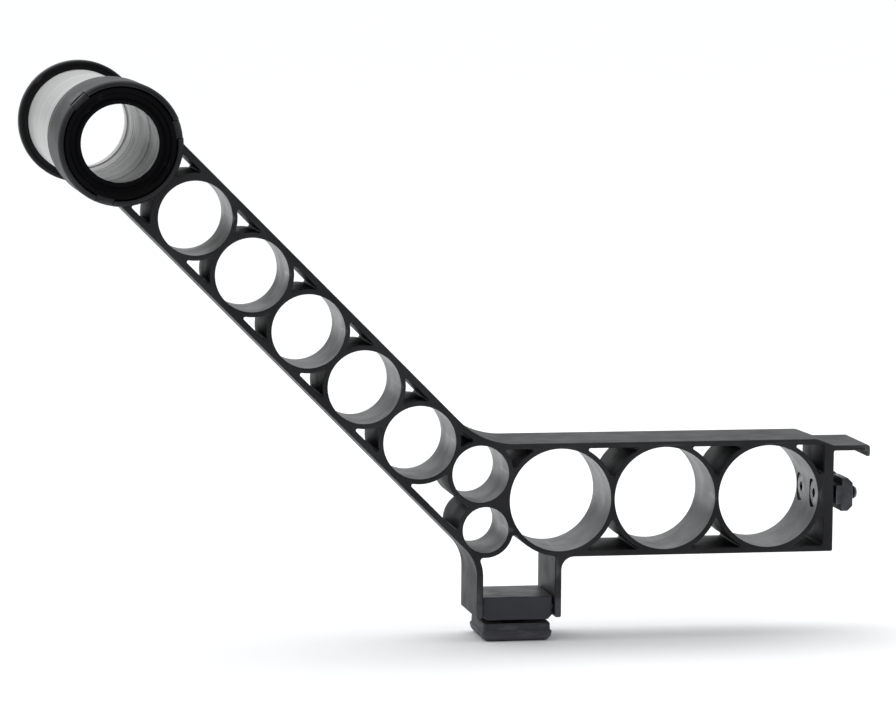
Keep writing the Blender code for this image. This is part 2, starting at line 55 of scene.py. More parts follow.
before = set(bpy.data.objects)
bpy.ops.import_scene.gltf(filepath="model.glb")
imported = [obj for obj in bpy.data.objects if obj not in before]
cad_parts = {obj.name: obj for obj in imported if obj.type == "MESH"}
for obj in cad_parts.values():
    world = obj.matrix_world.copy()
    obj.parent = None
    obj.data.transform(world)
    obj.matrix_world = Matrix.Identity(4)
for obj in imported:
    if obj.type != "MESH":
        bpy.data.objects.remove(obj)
CAD_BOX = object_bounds()


def node_box(node):
    """Lowest and highest corner of a CAD node, in millimetres."""
    low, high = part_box(node)
    return low / MM, high / MM


ARM_LOW, ARM_HIGH = node_box("spool_arm")
BUSH_LOW, BUSH_HIGH = node_box("rear_bush")
COLLAR_LOW, COLLAR_HIGH = node_box("near_collar")
FLANGE_LOW, FLANGE_HIGH = node_box("far_flange")
BLOCK_LOW, BLOCK_HIGH = node_box("foot_block")
_, PAD_HIGH = node_box("foot_pad")
SCREW_LOW, SCREW_HIGH = node_box("mount_screw_front")
NUT_LOW, NUT_HIGH = node_box("slot_nut_front")

# Moulded arm
BACK_Y = ARM_HIGH.y
FRONT_Y = -BACK_Y
RING_WALL = 1.4
RAIL = 1.8
LEVEL_RAIL = 1.6
LEVEL_Z = (NUT_LOW.z + NUT_HIGH.z) / 2
LEVEL_X = 11.3
LEVEL_HOLE = 14.1
LEVEL_PITCH = 29.3
LEVEL_CELLS = 3
LEVEL_HALF = LEVEL_HOLE + LEVEL_RAIL
SLOPE = 135.0
SLOPE_START = (-27.9, 55.4)
SLOPE_HOLE = 10.0
SLOPE_PITCH = 21.7
SLOPE_CELLS = 5
SLOPE_HALF = SLOPE_HOLE + RAIL
ELBOW_RADIUS = 22.0
HUB_WEB = 0.8
UPPER_RING = (-11.0, 46.5)
UPPER_HOLE = 7.8
LOWER_RING = (-9.5, 31.1)
LOWER_HOLE = 6.3
POST_HALF = 11.8
POST_WINDOW = (0.0, 20.0)
LEG_BOTTOM = 6.6
WINDOW_FILLET = 0.8
LEG_BEND = 11.0
LEG_FILLET = 3.5
PLATE_THICK = 2.8
BOSS_HALF = 6.0
LIP_DROP = 1.9
LIP_REACH = 10.3
LIP_THICK = 1.5
LIP_RAMP = 5.0
TIP_THICK = 1.2
TIP_DROP = 3.2
TIP_FILLET = 0.8
LIP_FILLET = 1.0
RAMP_FILLET = 3.0
PLATE_FACE = ARM_HIGH.x - LIP_REACH
EDGE = 0.35
EDGE_STEPS = 3
CORNER = 0.5
GAP_CORNER = 0.45
BACK_STEP = 0.03  # keeps the lattice's back face off the hub wall's
HALF_BEND = 22.5

# Hub and roller, as radii and distances back from the hub's front face
HUB = ((BUSH_LOW.x + BUSH_HIGH.x) / 2, (BUSH_LOW.z + BUSH_HIGH.z) / 2)
HUB_FRONT_Y = ARM_LOW.y
HUB_RADIUS = 16.8
HUB_BORE = 15.3
HUB_LENGTH = BACK_Y - HUB_FRONT_Y
HUB_LIP_RADIUS = 14.3
HUB_LIP = 2.0
HUB_ROOT = 1.5
LUG_ANGLES = (14.0, 134.0, 254.0)
LUG_WIDTH = 5.0
LUG_DEPTH = 1.9
LUG_GAP = 0.12
LUG_SLOT_INNER = 12.0
LUG_SLOT_OUTER = 20.0
LUG_INSET = 0.4
LUG_ROOT = 1.0
LUG_STEP = 0.02
LUG_EDGE = 0.2
LOCK_BORE = 10.5
LOCK_RIM = 13.2
LOCK_RECESS = 1.5
LOCK_FRONT = 0.5
LOCK_BACK = 4.0
JOURNAL_RADIUS = 13.7
JOURNAL_BORE = 11.8
TUBE_RADIUS = 14.9
TUBE_BORE = 13.3
FAR_RIB = 6.0
FAR_RIB_HEIGHT = 0.4
FAR_GROOVE_DEPTH = 0.6
BORE_STEP = 0.12
RELIEF_DEPTH = 0.5
SPIGOT_RADIUS = 14.2
SPIGOT_LENGTH = 4.2
CLIP_FRONT = 5.3
CLIP_THICK = 1.2
CLIP_OPENING = 34.0
CLIP_GROOVE_DEPTH = 0.8
COLLAR_RADIUS = (COLLAR_HIGH.x - COLLAR_LOW.x) / 2
FLANGE_RADIUS = (FLANGE_HIGH.x - FLANGE_LOW.x) / 2
GAP = 0.3
SHOULDER = COLLAR_LOW.y - HUB_FRONT_Y
TUBE_END = FLANGE_LOW.y - HUB_FRONT_Y - GAP
WASHER_THICK = 0.8
BUSH_LENGTH = BUSH_HIGH.y - BUSH_LOW.y

# Foot
RIB_DEPTH = 0.9
RIB_Z = 9.3
RIB_TIP_HALF = 0.5
RIB_ROOT_HALF = 1.0
GROOVE_HALF = RIB_ROOT_HALF + 0.3
BLOCK_CHAMFER = 1.2
STEM_RADIUS = 3.0
STEM_REACH = 4.0
STEM_ROOT = 2.0
PAD_TOP = 4.9

# Mounting screws
SCREW_Y = -(SCREW_LOW.y + SCREW_HIGH.y) / 2
SCREW_RADIUS = 1.85
SCREW_HEAD = 3.7
SCREW_HEAD_HEIGHT = 2.1
THREAD_PITCH = 0.7
THREAD_DEPTH = 0.3
SOCKET_HEX = 2.5
SOCKET_DEPTH = 1.6
SOCKET_POINT = 0.5
SEAT_LEAD = 3.0
SEAT_RIM = 0.3
NUT_NECK = 1.6
NUT_NECK_HALF = 2.6
NUT_CHAMFER = 1.4
NUT_LEAD_IN = 0.7

# Cutters start this far outside a face, and the long ones reach this far past it
CUT_START = 1.0
CUT_THROUGH = 8.0

# Facets of an arc: limits of the angle between points in degrees, and the length aimed for
SMALLEST_STEP = 3.75
LARGEST_STEP = 22.5
CHORD = 0.8
SMOOTH_ANGLE = 40.0

# Turns, in degrees about an axis, that lay the Y axis on another
LAY_ONTO = {"X": (-90, "Z"), "Z": (90, "X")}


# ---------- flat geometry ----------


def along(start, angle, distance, side=0.0):
    """Point at a distance from start in a direction, and offset to its left by side."""
    a = radians(angle)
    x = start[0] + distance * cos(a) - side * sin(a)
    z = start[1] + distance * sin(a) + side * cos(a)
    return (x, z)


def heading_to(start, end):
    return degrees(atan2(end[1] - start[1], end[0] - start[0]))


def distance_to(start, end):
    return hypot(end[0] - start[0], end[1] - start[1])


def line(point, angle):
    """A straight side through a point, followed in a direction."""
    return {"point": point, "angle": angle}


def ring(centre, radius, turn):
    """A round side, followed anticlockwise (turn 1) or clockwise (-1)."""
    return {"centre": centre, "radius": radius, "turn": turn}


def shifted(side, distance):
    """The same side, moved to its left."""
    if "angle" in side:
        return line(along(side["point"], side["angle"], 0.0, distance), side["angle"])
    return ring(side["centre"], side["radius"] - side["turn"] * distance, side["turn"])


def foot(side, point):
    """The point on a side that is nearest to a point."""
    if "angle" in side:
        reach = distance_to(side["point"], point)
        off = radians(heading_to(side["point"], point) - side["angle"])
        return along(side["point"], side["angle"], reach * cos(off))
    return along(side["centre"], heading_to(side["centre"], point), side["radius"])


def crossings(a, b):
    """The points where two sides meet."""
    if "angle" in a and "angle" in b:
        reach = distance_to(a["point"], b["point"])
        off = radians(heading_to(a["point"], b["point"]) - b["angle"])
        turn = radians(a["angle"] - b["angle"])
        return [along(a["point"], a["angle"], reach * sin(off) / sin(turn))]
    if "angle" in b:
        a, b = b, a
    if "angle" in a:
        middle = foot(a, b["centre"])
        half = sqrt(b["radius"] ** 2 - distance_to(middle, b["centre"]) ** 2)
        return [along(middle, a["angle"], half), along(middle, a["angle"], -half)]
    gap = distance_to(a["centre"], b["centre"])
    heading = heading_to(a["centre"], b["centre"])
    reach = (a["radius"] ** 2 - b["radius"] ** 2 + gap ** 2) / (2 * gap)
    height = sqrt(a["radius"] ** 2 - reach ** 2)
    return [along(a["centre"], heading, reach, height), along(a["centre"], heading, reach, -height)]


def nearest(points, hint):
    return min(points, key=lambda point: distance_to(point, hint))


def heading_at(side, point):
    if "angle" in side:
        return side["angle"]
    return heading_to(side["centre"], point) + 90.0 * side["turn"]


def arc_step(radius):
    """Angle between points on an arc, so that small and large arcs both look round."""
    return min(LARGEST_STEP, max(SMALLEST_STEP, degrees(CHORD / radius)))


def arc_points(centre, radius, first, last, turn):
    """Arc about centre from point first to point last, both included."""
    start = heading_to(centre, first)
    sweep = (heading_to(centre, last) - start) * turn % 360.0
    steps = max(1, ceil(sweep / arc_step(radius)))
    return [along(centre, start + turn * sweep * i / steps, radius) for i in range(steps + 1)]


def corner_points(a, b, radius, hint):
    """Fillet from side a to side b.

    A radius of 0 keeps the sharp corner, and None joins tangent sides.
    """
    if radius is None:
        straight, bend = (a, b) if "angle" in a else (b, a)
        return [foot(straight, bend["centre"])]
    sharp = nearest(crossings(a, b), hint)
    if radius == 0.0:
        return [sharp]
    change = (heading_at(b, sharp) - heading_at(a, sharp) + 180.0) % 360.0 - 180.0
    turn = 1 if change > 0.0 else -1
    centre = nearest(crossings(shifted(a, turn * radius), shifted(b, turn * radius)), sharp)
    return arc_points(centre, radius, foot(a, centre), foot(b, centre), turn)


def rounded_loop(parts):
    """Closed loop of (side, radius of the corner that ends it, hint near that corner)."""
    corners = []
    for i, (side, radius, hint) in enumerate(parts):
        following = parts[(i + 1) % len(parts)][0]
        corners.append(corner_points(side, following, radius, hint))
    points = []
    for i, (side, _, _) in enumerate(parts):
        before = corners[i - 1]
        points += before
        if "radius" in side:
            first, last = before[-1], corners[i][0]
            arc = arc_points(side["centre"], side["radius"], first, last, side["turn"])
            points += arc[1:-1]
    return points


def circle(centre, radius):
    count = ceil(360.0 / arc_step(radius))
    return [along(centre, i * 360.0 / count, radius) for i in range(count)]


def inset(loop, distance):
    """A loop moved to its left, with mitred corners."""
    moved = []
    for i, point in enumerate(loop):
        into = Vector(point) - Vector(loop[i - 1])
        out = Vector(loop[(i + 1) % len(loop)]) - Vector(point)
        first = Vector((-into.y, into.x)).normalized()
        second = Vector((-out.y, out.x)).normalized()
        mitre = (first + second) / (1.0 + first.dot(second))
        moved.append((point[0] + distance * mitre.x, point[1] + distance * mitre.y))
    return moved


# ---------- meshes ----------


def new_item(name, data):
    """Put a mesh, light or camera in the scene."""
    item = bpy.data.objects.new(name, data)
    bpy.context.scene.collection.objects.link(item)
    return item


def add_object(name, bm, mat):
    """Turn a bmesh in millimetres into a piece in metres."""
    bmesh.ops.remove_doubles(bm, verts=bm.verts, dist=1e-4)
    bmesh.ops.recalc_face_normals(bm, faces=bm.faces)
    bmesh.ops.scale(bm, vec=Vector((MM, MM, MM)), verts=bm.verts)
    mesh = bpy.data.meshes.new(name)
    bm.to_mesh(mesh)
    bm.free()
    mesh.shade_smooth()
    mesh.set_sharp_from_angle(angle=radians(SMOOTH_ANGLE))
    if mat is not None:
        mesh.materials.append(mat)
    return new_item(name, mesh)


def join_rows(bm, rows):
    """Faces between each closed row of vertices and the next."""
    count = len(rows[0])
    for low, high in zip(rows, rows[1:]):
        for i in range(count):
            j = (i + 1) % count
            bm.faces.new((low[i], low[j], high[j], high[i]))


def edge_layers(front, back, edge):
    """(inset, height) pairs that round the front and back edges of an extrusion."""
    curve = []
    for i in range(EDGE_STEPS + 1):
        a = radians(90.0 * i / EDGE_STEPS)
        curve.append((edge * (1.0 - sin(a)), edge * (1.0 - cos(a))))
    return [(d, front + h) for d, h in curve] + [(d, back - h) for d, h in reversed(curve)]


def moulded(name, outline, holes, front, back, mat, edge=EDGE):
    """Extrude an XZ outline with holes from Y front to Y back, with rounded edges on both faces."""
    bm = bmesh.new()
    caps = []
    layers = edge_layers(front, back, edge)
    for loop, toward in [(outline, 1.0)] + [(hole, -1.0) for hole in holes]:
        rows = []
        for shift, y in layers:
            moved = inset(loop, toward * shift) if shift > 1e-6 else loop
            rows.append([bm.verts.new((x, y, z)) for x, z in moved])
        join_rows(bm, rows)
        caps.append((rows[0], rows[-1]))
    for end in (0, 1):
        edges = []
        for rows in caps:
            row = rows[end]
            edges += [bm.edges.get((row[i - 1], row[i])) for i in range(len(row))]
        bmesh.ops.triangle_fill(bm, use_beauty=True, use_dissolve=False, edges=edges)
    return add_object(name, bm, mat)


def eased(profile, closed=True):
    """Round the corners of a profile of (radius, distance, fillet) points."""
    points = []
    count = len(profile)
    for i, (radius, distance, fillet) in enumerate(profile):
        here = Vector((radius, distance))
        ends = not closed and i in (0, count - 1)
        if fillet <= 0.0 or ends:
            points.append((radius, distance))
            continue
        before = (Vector(profile[i - 1][:2]) - here).normalized()
        after = (Vector(profile[(i + 1) % count][:2]) - here).normalized()
        half = before.angle(after) / 2
        centre = here + (before + after).normalized() * fillet / sin(half)
        first = here + before * fillet / tan(half)
        last = here + after * fillet / tan(half)
        turn = 1 if before.x * after.y - before.y * after.x < 0.0 else -1
        points += arc_points(tuple(centre), fillet, tuple(first), tuple(last), turn)
    return points


def turned(name, profile, mat, origin, axis="Y", steps=96, sweep=360.0, start=0.0):
    """Turn a profile of (radius, distance) points about an axis through origin."""
    bm = bmesh.new()
    verts = [bm.verts.new((radius, distance, 0.0)) for radius, distance in profile]
    edges = [bm.edges.new(pair) for pair in zip(verts, verts[1:])]
    if not (profile[0][0] == 0.0 and profile[-1][0] == 0.0):
        edges.append(bm.edges.new((verts[-1], verts[0])))
    whole = sweep == 360.0
    geom = verts + edges
    if not whole:
        geom.append(bm.faces.new(verts))
    first = Matrix.Rotation(radians(start), 3, "Y")
    bmesh.ops.rotate(bm, verts=bm.verts, cent=(0, 0, 0), matrix=first)
    bmesh.ops.spin(bm, geom=geom, cent=(0, 0, 0), axis=(0, 1, 0), angle=radians(sweep),
                   steps=steps, use_merge=whole)
    if axis in LAY_ONTO:
        angle, about = LAY_ONTO[axis]
        onto = Matrix.Rotation(radians(angle), 3, about)
        bmesh.ops.rotate(bm, verts=bm.verts, cent=(0, 0, 0), matrix=onto)
    bmesh.ops.translate(bm, vec=origin, verts=bm.verts)
    return add_object(name, bm, mat)


def block(name, low, high, mat=None, chamfer=0.0):
    """Box between two corners, with its edges eased."""
    bm = bmesh.new()
    bmesh.ops.create_cube(bm, size=1.0)
    bmesh.ops.scale(bm, vec=[b - a for a, b in zip(low, high)], verts=bm.verts)
    bmesh.ops.translate(bm, vec=[(a + b) / 2 for a, b in zip(low, high)], verts=bm.verts)
    if chamfer:
        bmesh.ops.bevel(bm, geom=bm.edges[:], offset=chamfer, segments=2, affect="EDGES",
                        profile=0.5)
    return add_object(name, bm, mat)


def stacked(name, layers, mat, corner_steps=6):
    """Join rounded rectangles of (height, half width, half depth, corner radius) into one solid."""
    bm = bmesh.new()
    rows = []
    for z, half_x, half_y, corner in layers:
        row = []
        for quarter, (sx, sy) in enumerate(((1, 1), (-1, 1), (-1, -1), (1, -1))):
            middle = (sx * (half_x - corner), sy * (half_y - corner))
            for i in range(corner_steps + 1):
                x, y = along(middle, 90.0 * (quarter + i / corner_steps), corner)
                row.append(bm.verts.new((x, y, z)))
        rows.append(row)
    join_rows(bm, rows)
    bm.faces.new(rows[0])
    bm.faces.new(rows[-1])
    return add_object(name, bm, mat)


def combine(target, others, operation):
    """Join or cut target with other solids, which are then removed."""
    for other in others:
        mod = target.modifiers.new(operation, "BOOLEAN")
        mod.operation = operation
        mod.solver = "EXACT"
        mod.material_mode = "TRANSFER"
        mod.object = other
    view = bpy.context.evaluated_depsgraph_get()
    mesh = bpy.data.meshes.new_from_object(target.evaluated_get(view), depsgraph=view)
    target.modifiers.clear()
    target.data = mesh
    for other in others:
        bpy.data.objects.remove(other, do_unlink=True)
    bm = bmesh.new()
    bm.from_mesh(mesh)
    bmesh.ops.remove_doubles(bm, verts=bm.verts, dist=2e-6)
    bmesh.ops.dissolve_degenerate(bm, edges=bm.edges, dist=1e-6)
    bm.to_mesh(mesh)
    bm.free()
    mesh.shade_smooth()
    mesh.set_sharp_from_angle(angle=radians(SMOOTH_ANGLE))


def repaint(item, mat, chosen):
    """Give the faces that chosen picks, by centre in millimetres and normal, a second material."""
    mesh = item.data
    mesh.materials.append(mat)
    index = len(mesh.materials) - 1
    for face in mesh.polygons:
        if chosen(face.center / MM, face.normal):
            face.material_index = index


def even_shading(item):
    """Keep large flat faces flat where they meet rounded edges."""
    mod = item.modifiers.new("even_shading", "WEIGHTED_NORMAL")
    mod.keep_sharp = True
    mod.weight = 80


def hub_point(distance=0.0):
    """Point on the hub's axis, at a distance back from the hub's front face."""
    return (HUB[0], HUB_FRONT_Y + distance, HUB[1])


def hub_distance(y):
    return y - HUB_FRONT_Y


# ---------- the arm's outline and cells ----------

LEVEL_CENTRES = [(LEVEL_X + LEVEL_PITCH * i, LEVEL_Z) for i in range(LEVEL_CELLS)]
SLOPE_CENTRES = [along(SLOPE_START, SLOPE, SLOPE_PITCH * i) for i in range(SLOPE_CELLS)]
LEVEL_WALL = LEVEL_HOLE + RING_WALL
SLOPE_WALL = SLOPE_HOLE + RING_WALL
UPPER_WALL = UPPER_HOLE + RING_WALL
LOWER_WALL = LOWER_HOLE + RING_WALL
LEVEL_TOP = LEVEL_Z + LEVEL_HALF
LEVEL_BASE = LEVEL_Z - LEVEL_HALF

# Where the lattice ends inside the hub's wall
HUB_OUTER_SKIN = HUB_RADIUS - 0.15
HUB_INNER_SKIN = HUB_BORE + 0.3
ROOT_ANGLE = degrees(asin((SLOPE_HALF + HUB_ROOT) / (HUB_OUTER_SKIN + HUB_ROOT))) + 2.0


def arm_outline():
    """Outer edge of the lattice, anticlockwise, from the level part's underside."""
    lip_top = LEVEL_TOP - LIP_DROP
    lip_base = lip_top - LIP_THICK
    tip_x = PLATE_FACE + LIP_REACH
    tip_base = lip_top - TIP_DROP
    ramp = heading_to((PLATE_FACE, lip_top), (PLATE_FACE - LIP_RAMP, LEVEL_TOP))
    upper_rail = line(along(SLOPE_START, SLOPE, 0.0, -SLOPE_HALF), SLOPE)
    lower_rail = line(along(SLOPE_START, SLOPE, 0.0, SLOPE_HALF), SLOPE - 180.0)
    upper_root = (HUB[0] + HUB_RADIUS, HUB[1])
    lower_root = (HUB[0], HUB[1] - HUB_RADIUS)
    leg_corner = crossings(lower_rail, line((-POST_HALF, 0.0), -90.0))[0]
    leg_bend = (-POST_HALF - LEG_BEND, leg_corner[1] - LEG_BEND * tan(radians(HALF_BEND)))
    window = POST_WINDOW
    inner_leg = POST_HALF - RAIL
    return rounded_loop([
        (line((0.0, LEVEL_BASE), 0.0), CORNER, window),
        (line((PLATE_FACE, 0.0), 90.0), CORNER, window),
        (line((0.0, lip_base), 0.0), CORNER, window),
        (line((tip_x - TIP_THICK, 0.0), -90.0), CORNER, window),
        (line((0.0, tip_base), 0.0), CORNER, window),
        (line((tip_x, 0.0), 90.0), TIP_FILLET, window),
        (line((0.0, lip_top), 180.0), LIP_FILLET, window),
        (line((PLATE_FACE, lip_top), ramp), RAMP_FILLET, window),
        (line((0.0, LEVEL_TOP), 180.0), ELBOW_RADIUS, window),
        (upper_rail, HUB_ROOT, upper_root),
        (ring(HUB, HUB_OUTER_SKIN, 1), 0.0, upper_root),
        (line(HUB, SLOPE + ROOT_ANGLE), 0.0, upper_root),
        (ring(HUB, HUB_INNER_SKIN, -1), 0.0, lower_root),
        (line(HUB, SLOPE - 180.0 - ROOT_ANGLE), 0.0, lower_root),
        (ring(HUB, HUB_OUTER_SKIN, 1), HUB_ROOT, lower_root),
        (lower_rail, LEG_BEND, window),
        (line((-POST_HALF, 0.0), -90.0), CORNER, window),
        (line((0.0, LEG_BOTTOM), 0.0), CORNER, window),
        (line((-inner_leg, 0.0), 90.0), None, window),
        (ring(leg_bend, LEG_BEND + RAIL, 1), WINDOW_FILLET, window),
        (ring(LOWER_RING, LOWER_WALL, 1), WINDOW_FILLET, window),
        (ring(LEVEL_CENTRES[0], LEVEL_WALL, 1), WINDOW_FILLET, window),
        (line((inner_leg, 0.0), -90.0), CORNER, window),
        (line((0.0, LEG_BOTTOM), 0.0), CORNER, window),
        (line((POST_HALF, 0.0), 90.0), LEG_FILLET, window),
    ])


def gap_loop(sides, hint):
    """Opening bounded by sides, all its corners filleted."""
    return rounded_loop([(side, GAP_CORNER, hint) for side in sides])


def cell_gap(first, wall_first, second, wall_second, rail, side):
    """Three-sided opening between two ring walls and the rail on one side of them."""
    heading = heading_to(first, second)
    hint = along(first, heading, distance_to(first, second) / 2, side * rail)
    rings = [ring(first, wall_first, -1), ring(second, wall_second, -1)]
    if side < 0:
        rings.reverse()
    way = heading + (180.0 if side > 0 else 0.0)
    edge = line(along(first, heading, 0.0, side * rail), way)
    return gap_loop([edge] + rings, hint)


def elbow_gaps():
    """Openings round the two small rings, under the top rail's bend and beside the outer rail."""
    first_slope = ring(SLOPE_CENTRES[0], SLOPE_WALL, -1)
    first_level = ring(LEVEL_CENTRES[0], LEVEL_WALL, -1)
    upper = ring(UPPER_RING, UPPER_WALL, -1)
    lower = ring(LOWER_RING, LOWER_WALL, -1)
    top = line((0.0, LEVEL_TOP - LEVEL_RAIL), 180.0)
    upper_rail = line(along(SLOPE_START, SLOPE, 0.0, -SLOPE_HALF), SLOPE)
    corner = crossings(upper_rail, line((0.0, LEVEL_TOP), 0.0))[0]
    bend_x = corner[0] + ELBOW_RADIUS * tan(radians(HALF_BEND))
    bend_centre = (bend_x, LEVEL_TOP + ELBOW_RADIUS)
    bend = ring(bend_centre, ELBOW_RADIUS + RAIL, -1)
    outer = line(along(SLOPE_START, SLOPE, 0.0, SLOPE_HOLE), SLOPE - 180.0)
    return [
        gap_loop([bend, first_slope, upper], nearest(crossings(first_slope, bend), UPPER_RING)),
        gap_loop([top, upper, first_level], (-3.0, LEVEL_TOP - 3.0)),
        gap_loop([outer, lower, upper, first_slope], (-19.5, 38.5)),
    ]


def plate_corner(side):
    """Opening in a corner between the last cell and the mounting plate."""
    cell = ring(LEVEL_CENTRES[-1], LEVEL_WALL, -1)
    rail = line((0.0, LEVEL_Z + side * LEVEL_HOLE), 180.0 if side > 0 else 0.0)
    boss = line((0.0, LEVEL_Z + side * BOSS_HALF), 0.0 if side > 0 else 180.0)
    plate = line((PLATE_FACE - PLATE_THICK, 0.0), 90.0)
    hint = (PLATE_FACE - PLATE_THICK, LEVEL_Z + side * (LEVEL_HOLE + BOSS_HALF) / 2)
    if side > 0:
        return gap_loop([rail, cell, boss, plate], hint)
    return gap_loop([rail, plate, boss, cell], hint)


def arm_holes():
    """Every opening through the lattice, anticlockwise."""
    holes = [circle(centre, LEVEL_HOLE) for centre in LEVEL_CENTRES]
    holes += [circle(centre, SLOPE_HOLE) for centre in SLOPE_CENTRES]
    holes += [circle(UPPER_RING, UPPER_HOLE), circle(LOWER_RING, LOWER_HOLE)]
    for side in (1, -1):
        for first, second in zip(LEVEL_CENTRES, LEVEL_CENTRES[1:]):
            holes.append(cell_gap(first, LEVEL_WALL, second, LEVEL_WALL, LEVEL_HOLE, side))
        for first, second in zip(SLOPE_CENTRES, SLOPE_CENTRES[1:]):
            holes.append(cell_gap(first, SLOPE_WALL, second, SLOPE_WALL, SLOPE_HOLE, side))
        last_wall = SLOPE_WALL + HUB_WEB
        holes.append(cell_gap(SLOPE_CENTRES[-1], last_wall, HUB, HUB_RADIUS, SLOPE_HOLE, side))
        holes.append(plate_corner(side))
    return holes + elbow_gaps()


# ---------- materials ----------


def new_material(name):
    """A material with its shader, and object coordinates in millimetres."""
    mat = bpy.data.materials.new(name)
    mat.use_nodes = True
    tree = mat.node_tree
    coords = tree.nodes.new("ShaderNodeTexCoord")
    scale = tree.nodes.new("ShaderNodeVectorMath")
    scale.operation = "SCALE"
    scale.inputs["Scale"].default_value = 1.0 / MM
    tree.links.new(coords.outputs["Object"], scale.inputs[0])
    return mat, tree, tree.nodes["Principled BSDF"], scale.outputs["Vector"]


def noise(tree, coords, size, detail=3.0, stretch=(1.0, 1.0, 1.0)):
    """Noise whose features are about size millimetres, longer along an axis by its stretch."""
    mapping = tree.nodes.new("ShaderNodeMapping")
    mapping.inputs["Scale"].default_value = [1.0 / (size * s) for s in stretch]
    texture = tree.nodes.new("ShaderNodeTexNoise")
    texture.inputs["Scale"].default_value = 1.0
    texture.inputs["Detail"].default_value = detail
    tree.links.new(coords, mapping.inputs["Vector"])
    tree.links.new(mapping.outputs["Vector"], texture.inputs["Vector"])
    return texture.outputs["Fac"]


def remap(tree, value, low, high, to_low, to_high):
    """Map a value from one range to another, held at its ends."""
    node = tree.nodes.new("ShaderNodeMapRange")
    node.interpolation_type = "SMOOTHSTEP"
    limits = {"From Min": low, "From Max": high, "To Min": to_low, "To Max": to_high}
    for name, number in limits.items():
        node.inputs[name].default_value = number
    tree.links.new(value, node.inputs["Value"])
    return node.outputs["Result"]


def maths(tree, operation, a, b):
    """One math node; a and b are sockets or numbers."""
    node = tree.nodes.new("ShaderNodeMath")
    node.operation = operation
    for socket, value in zip(node.inputs, (a, b)):
        if isinstance(value, (int, float)):
            socket.default_value = value
        else:
            tree.links.new(value, socket)
    return node.outputs["Value"]


def mix(tree, amount, a, b):
    """Blend two colours; each is a socket or an RGB triple."""
    node = tree.nodes.new("ShaderNodeMix")
    node.data_type = "RGBA"
    tree.links.new(amount, node.inputs["Factor"])
    for socket, value in ((node.inputs[6], a), (node.inputs[7], b)):
        if isinstance(value, tuple):
            socket.default_value = (*value, 1.0)
        else:
            tree.links.new(value, socket)
    return node.outputs[2]


def bump(tree, shader, layers):
    """Chain of bumps from (height socket, depth in millimetres, strength)."""
    normal = None
    for height, depth, strength in layers:
        node = tree.nodes.new("ShaderNodeBump")
        node.inputs["Distance"].default_value = depth * MM
        node.inputs["Strength"].default_value = strength
        tree.links.new(height, node.inputs["Height"])
        if normal is not None:
            tree.links.new(normal, node.inputs["Normal"])
        normal = node.outputs["Normal"]
    tree.links.new(normal, shader.inputs["Normal"])


def patchy_edges(tree, coords):
    """Patchy mask of the edges: handling rubs them, and on the moulded plastic they also carry a
    painted highlight.
    """
    geometry = tree.nodes.new("ShaderNodeNewGeometry")
    edges = remap(tree, geometry.outputs["Pointiness"], 0.52, 0.60, 0.0, 1.0)
    patches = remap(tree, noise(tree, coords, 9.0, 4.0), 0.42, 0.62, 0.15, 1.0)
    return maths(tree, "MULTIPLY", edges, patches)


def settled_dust(tree, coords):
    """Mask of the faces that look up, broken into soft patches and specks."""
    geometry = tree.nodes.new("ShaderNodeNewGeometry")
    split = tree.nodes.new("ShaderNodeSeparateXYZ")
    tree.links.new(geometry.outputs["Normal"], split.inputs["Vector"])
    upward = remap(tree, split.outputs["Z"], 0.35, 1.0, 0.0, 1.0)
    patches = remap(tree, noise(tree, coords, 14.0, 5.0), 0.35, 0.7, 0.25, 1.0)
    specks = remap(tree, noise(tree, coords, 0.35, 2.0), 0.45, 0.75, 0.35, 1.0)
    return maths(tree, "MULTIPLY", maths(tree, "MULTIPLY", upward, patches), specks)


def moulded_plastic(name, dark, light, worn_and_highlight, roughness, grain, dust=0.10, specular=0.5):
    """Moulded plastic with a spark-eroded grain, flow marks, edges lightened by rubbing and by a
    painted highlight, and a little dust.
    """
    mat, tree, shader, coords = new_material(name)
    flow = remap(tree, noise(tree, coords, 22.0, 3.0, (1.0, 2.5, 1.0)), 0.3, 0.7, 0.0, 1.0)
    fine = noise(tree, coords, grain, 2.0)
    coarse = noise(tree, coords, grain * 3.5, 2.0)
    smudge = remap(tree, noise(tree, coords, 7.0, 5.0), 0.35, 0.7, 0.0, 1.0)
    edge_mask = patchy_edges(tree, coords)
    dusty = settled_dust(tree, coords)

    colour = mix(tree, flow, dark, light)
    # Edges lightened towards the edge colour: partly real rubbing, partly a painted highlight along
    # the edges.
    colour = mix(tree, maths(tree, "MULTIPLY", edge_mask, 0.55), colour, worn_and_highlight)
    colour = mix(tree, maths(tree, "MULTIPLY", dusty, dust), colour, (0.42, 0.41, 0.39))
    tree.links.new(colour, shader.inputs["Base Color"])

    rough = maths(tree, "ADD", maths(tree, "MULTIPLY", smudge, 0.10), roughness - 0.05)
    rough = maths(tree, "SUBTRACT", rough, maths(tree, "MULTIPLY", edge_mask, 0.08))
    rough = maths(tree, "ADD", rough, maths(tree, "MULTIPLY", dusty, 0.18))
    tree.links.new(rough, shader.inputs["Roughness"])
    shader.inputs["Specular IOR Level"].default_value = specular
    bump(tree, shader, [(coarse, 0.030, 0.35), (fine, 0.012, 0.45)])
    return mat


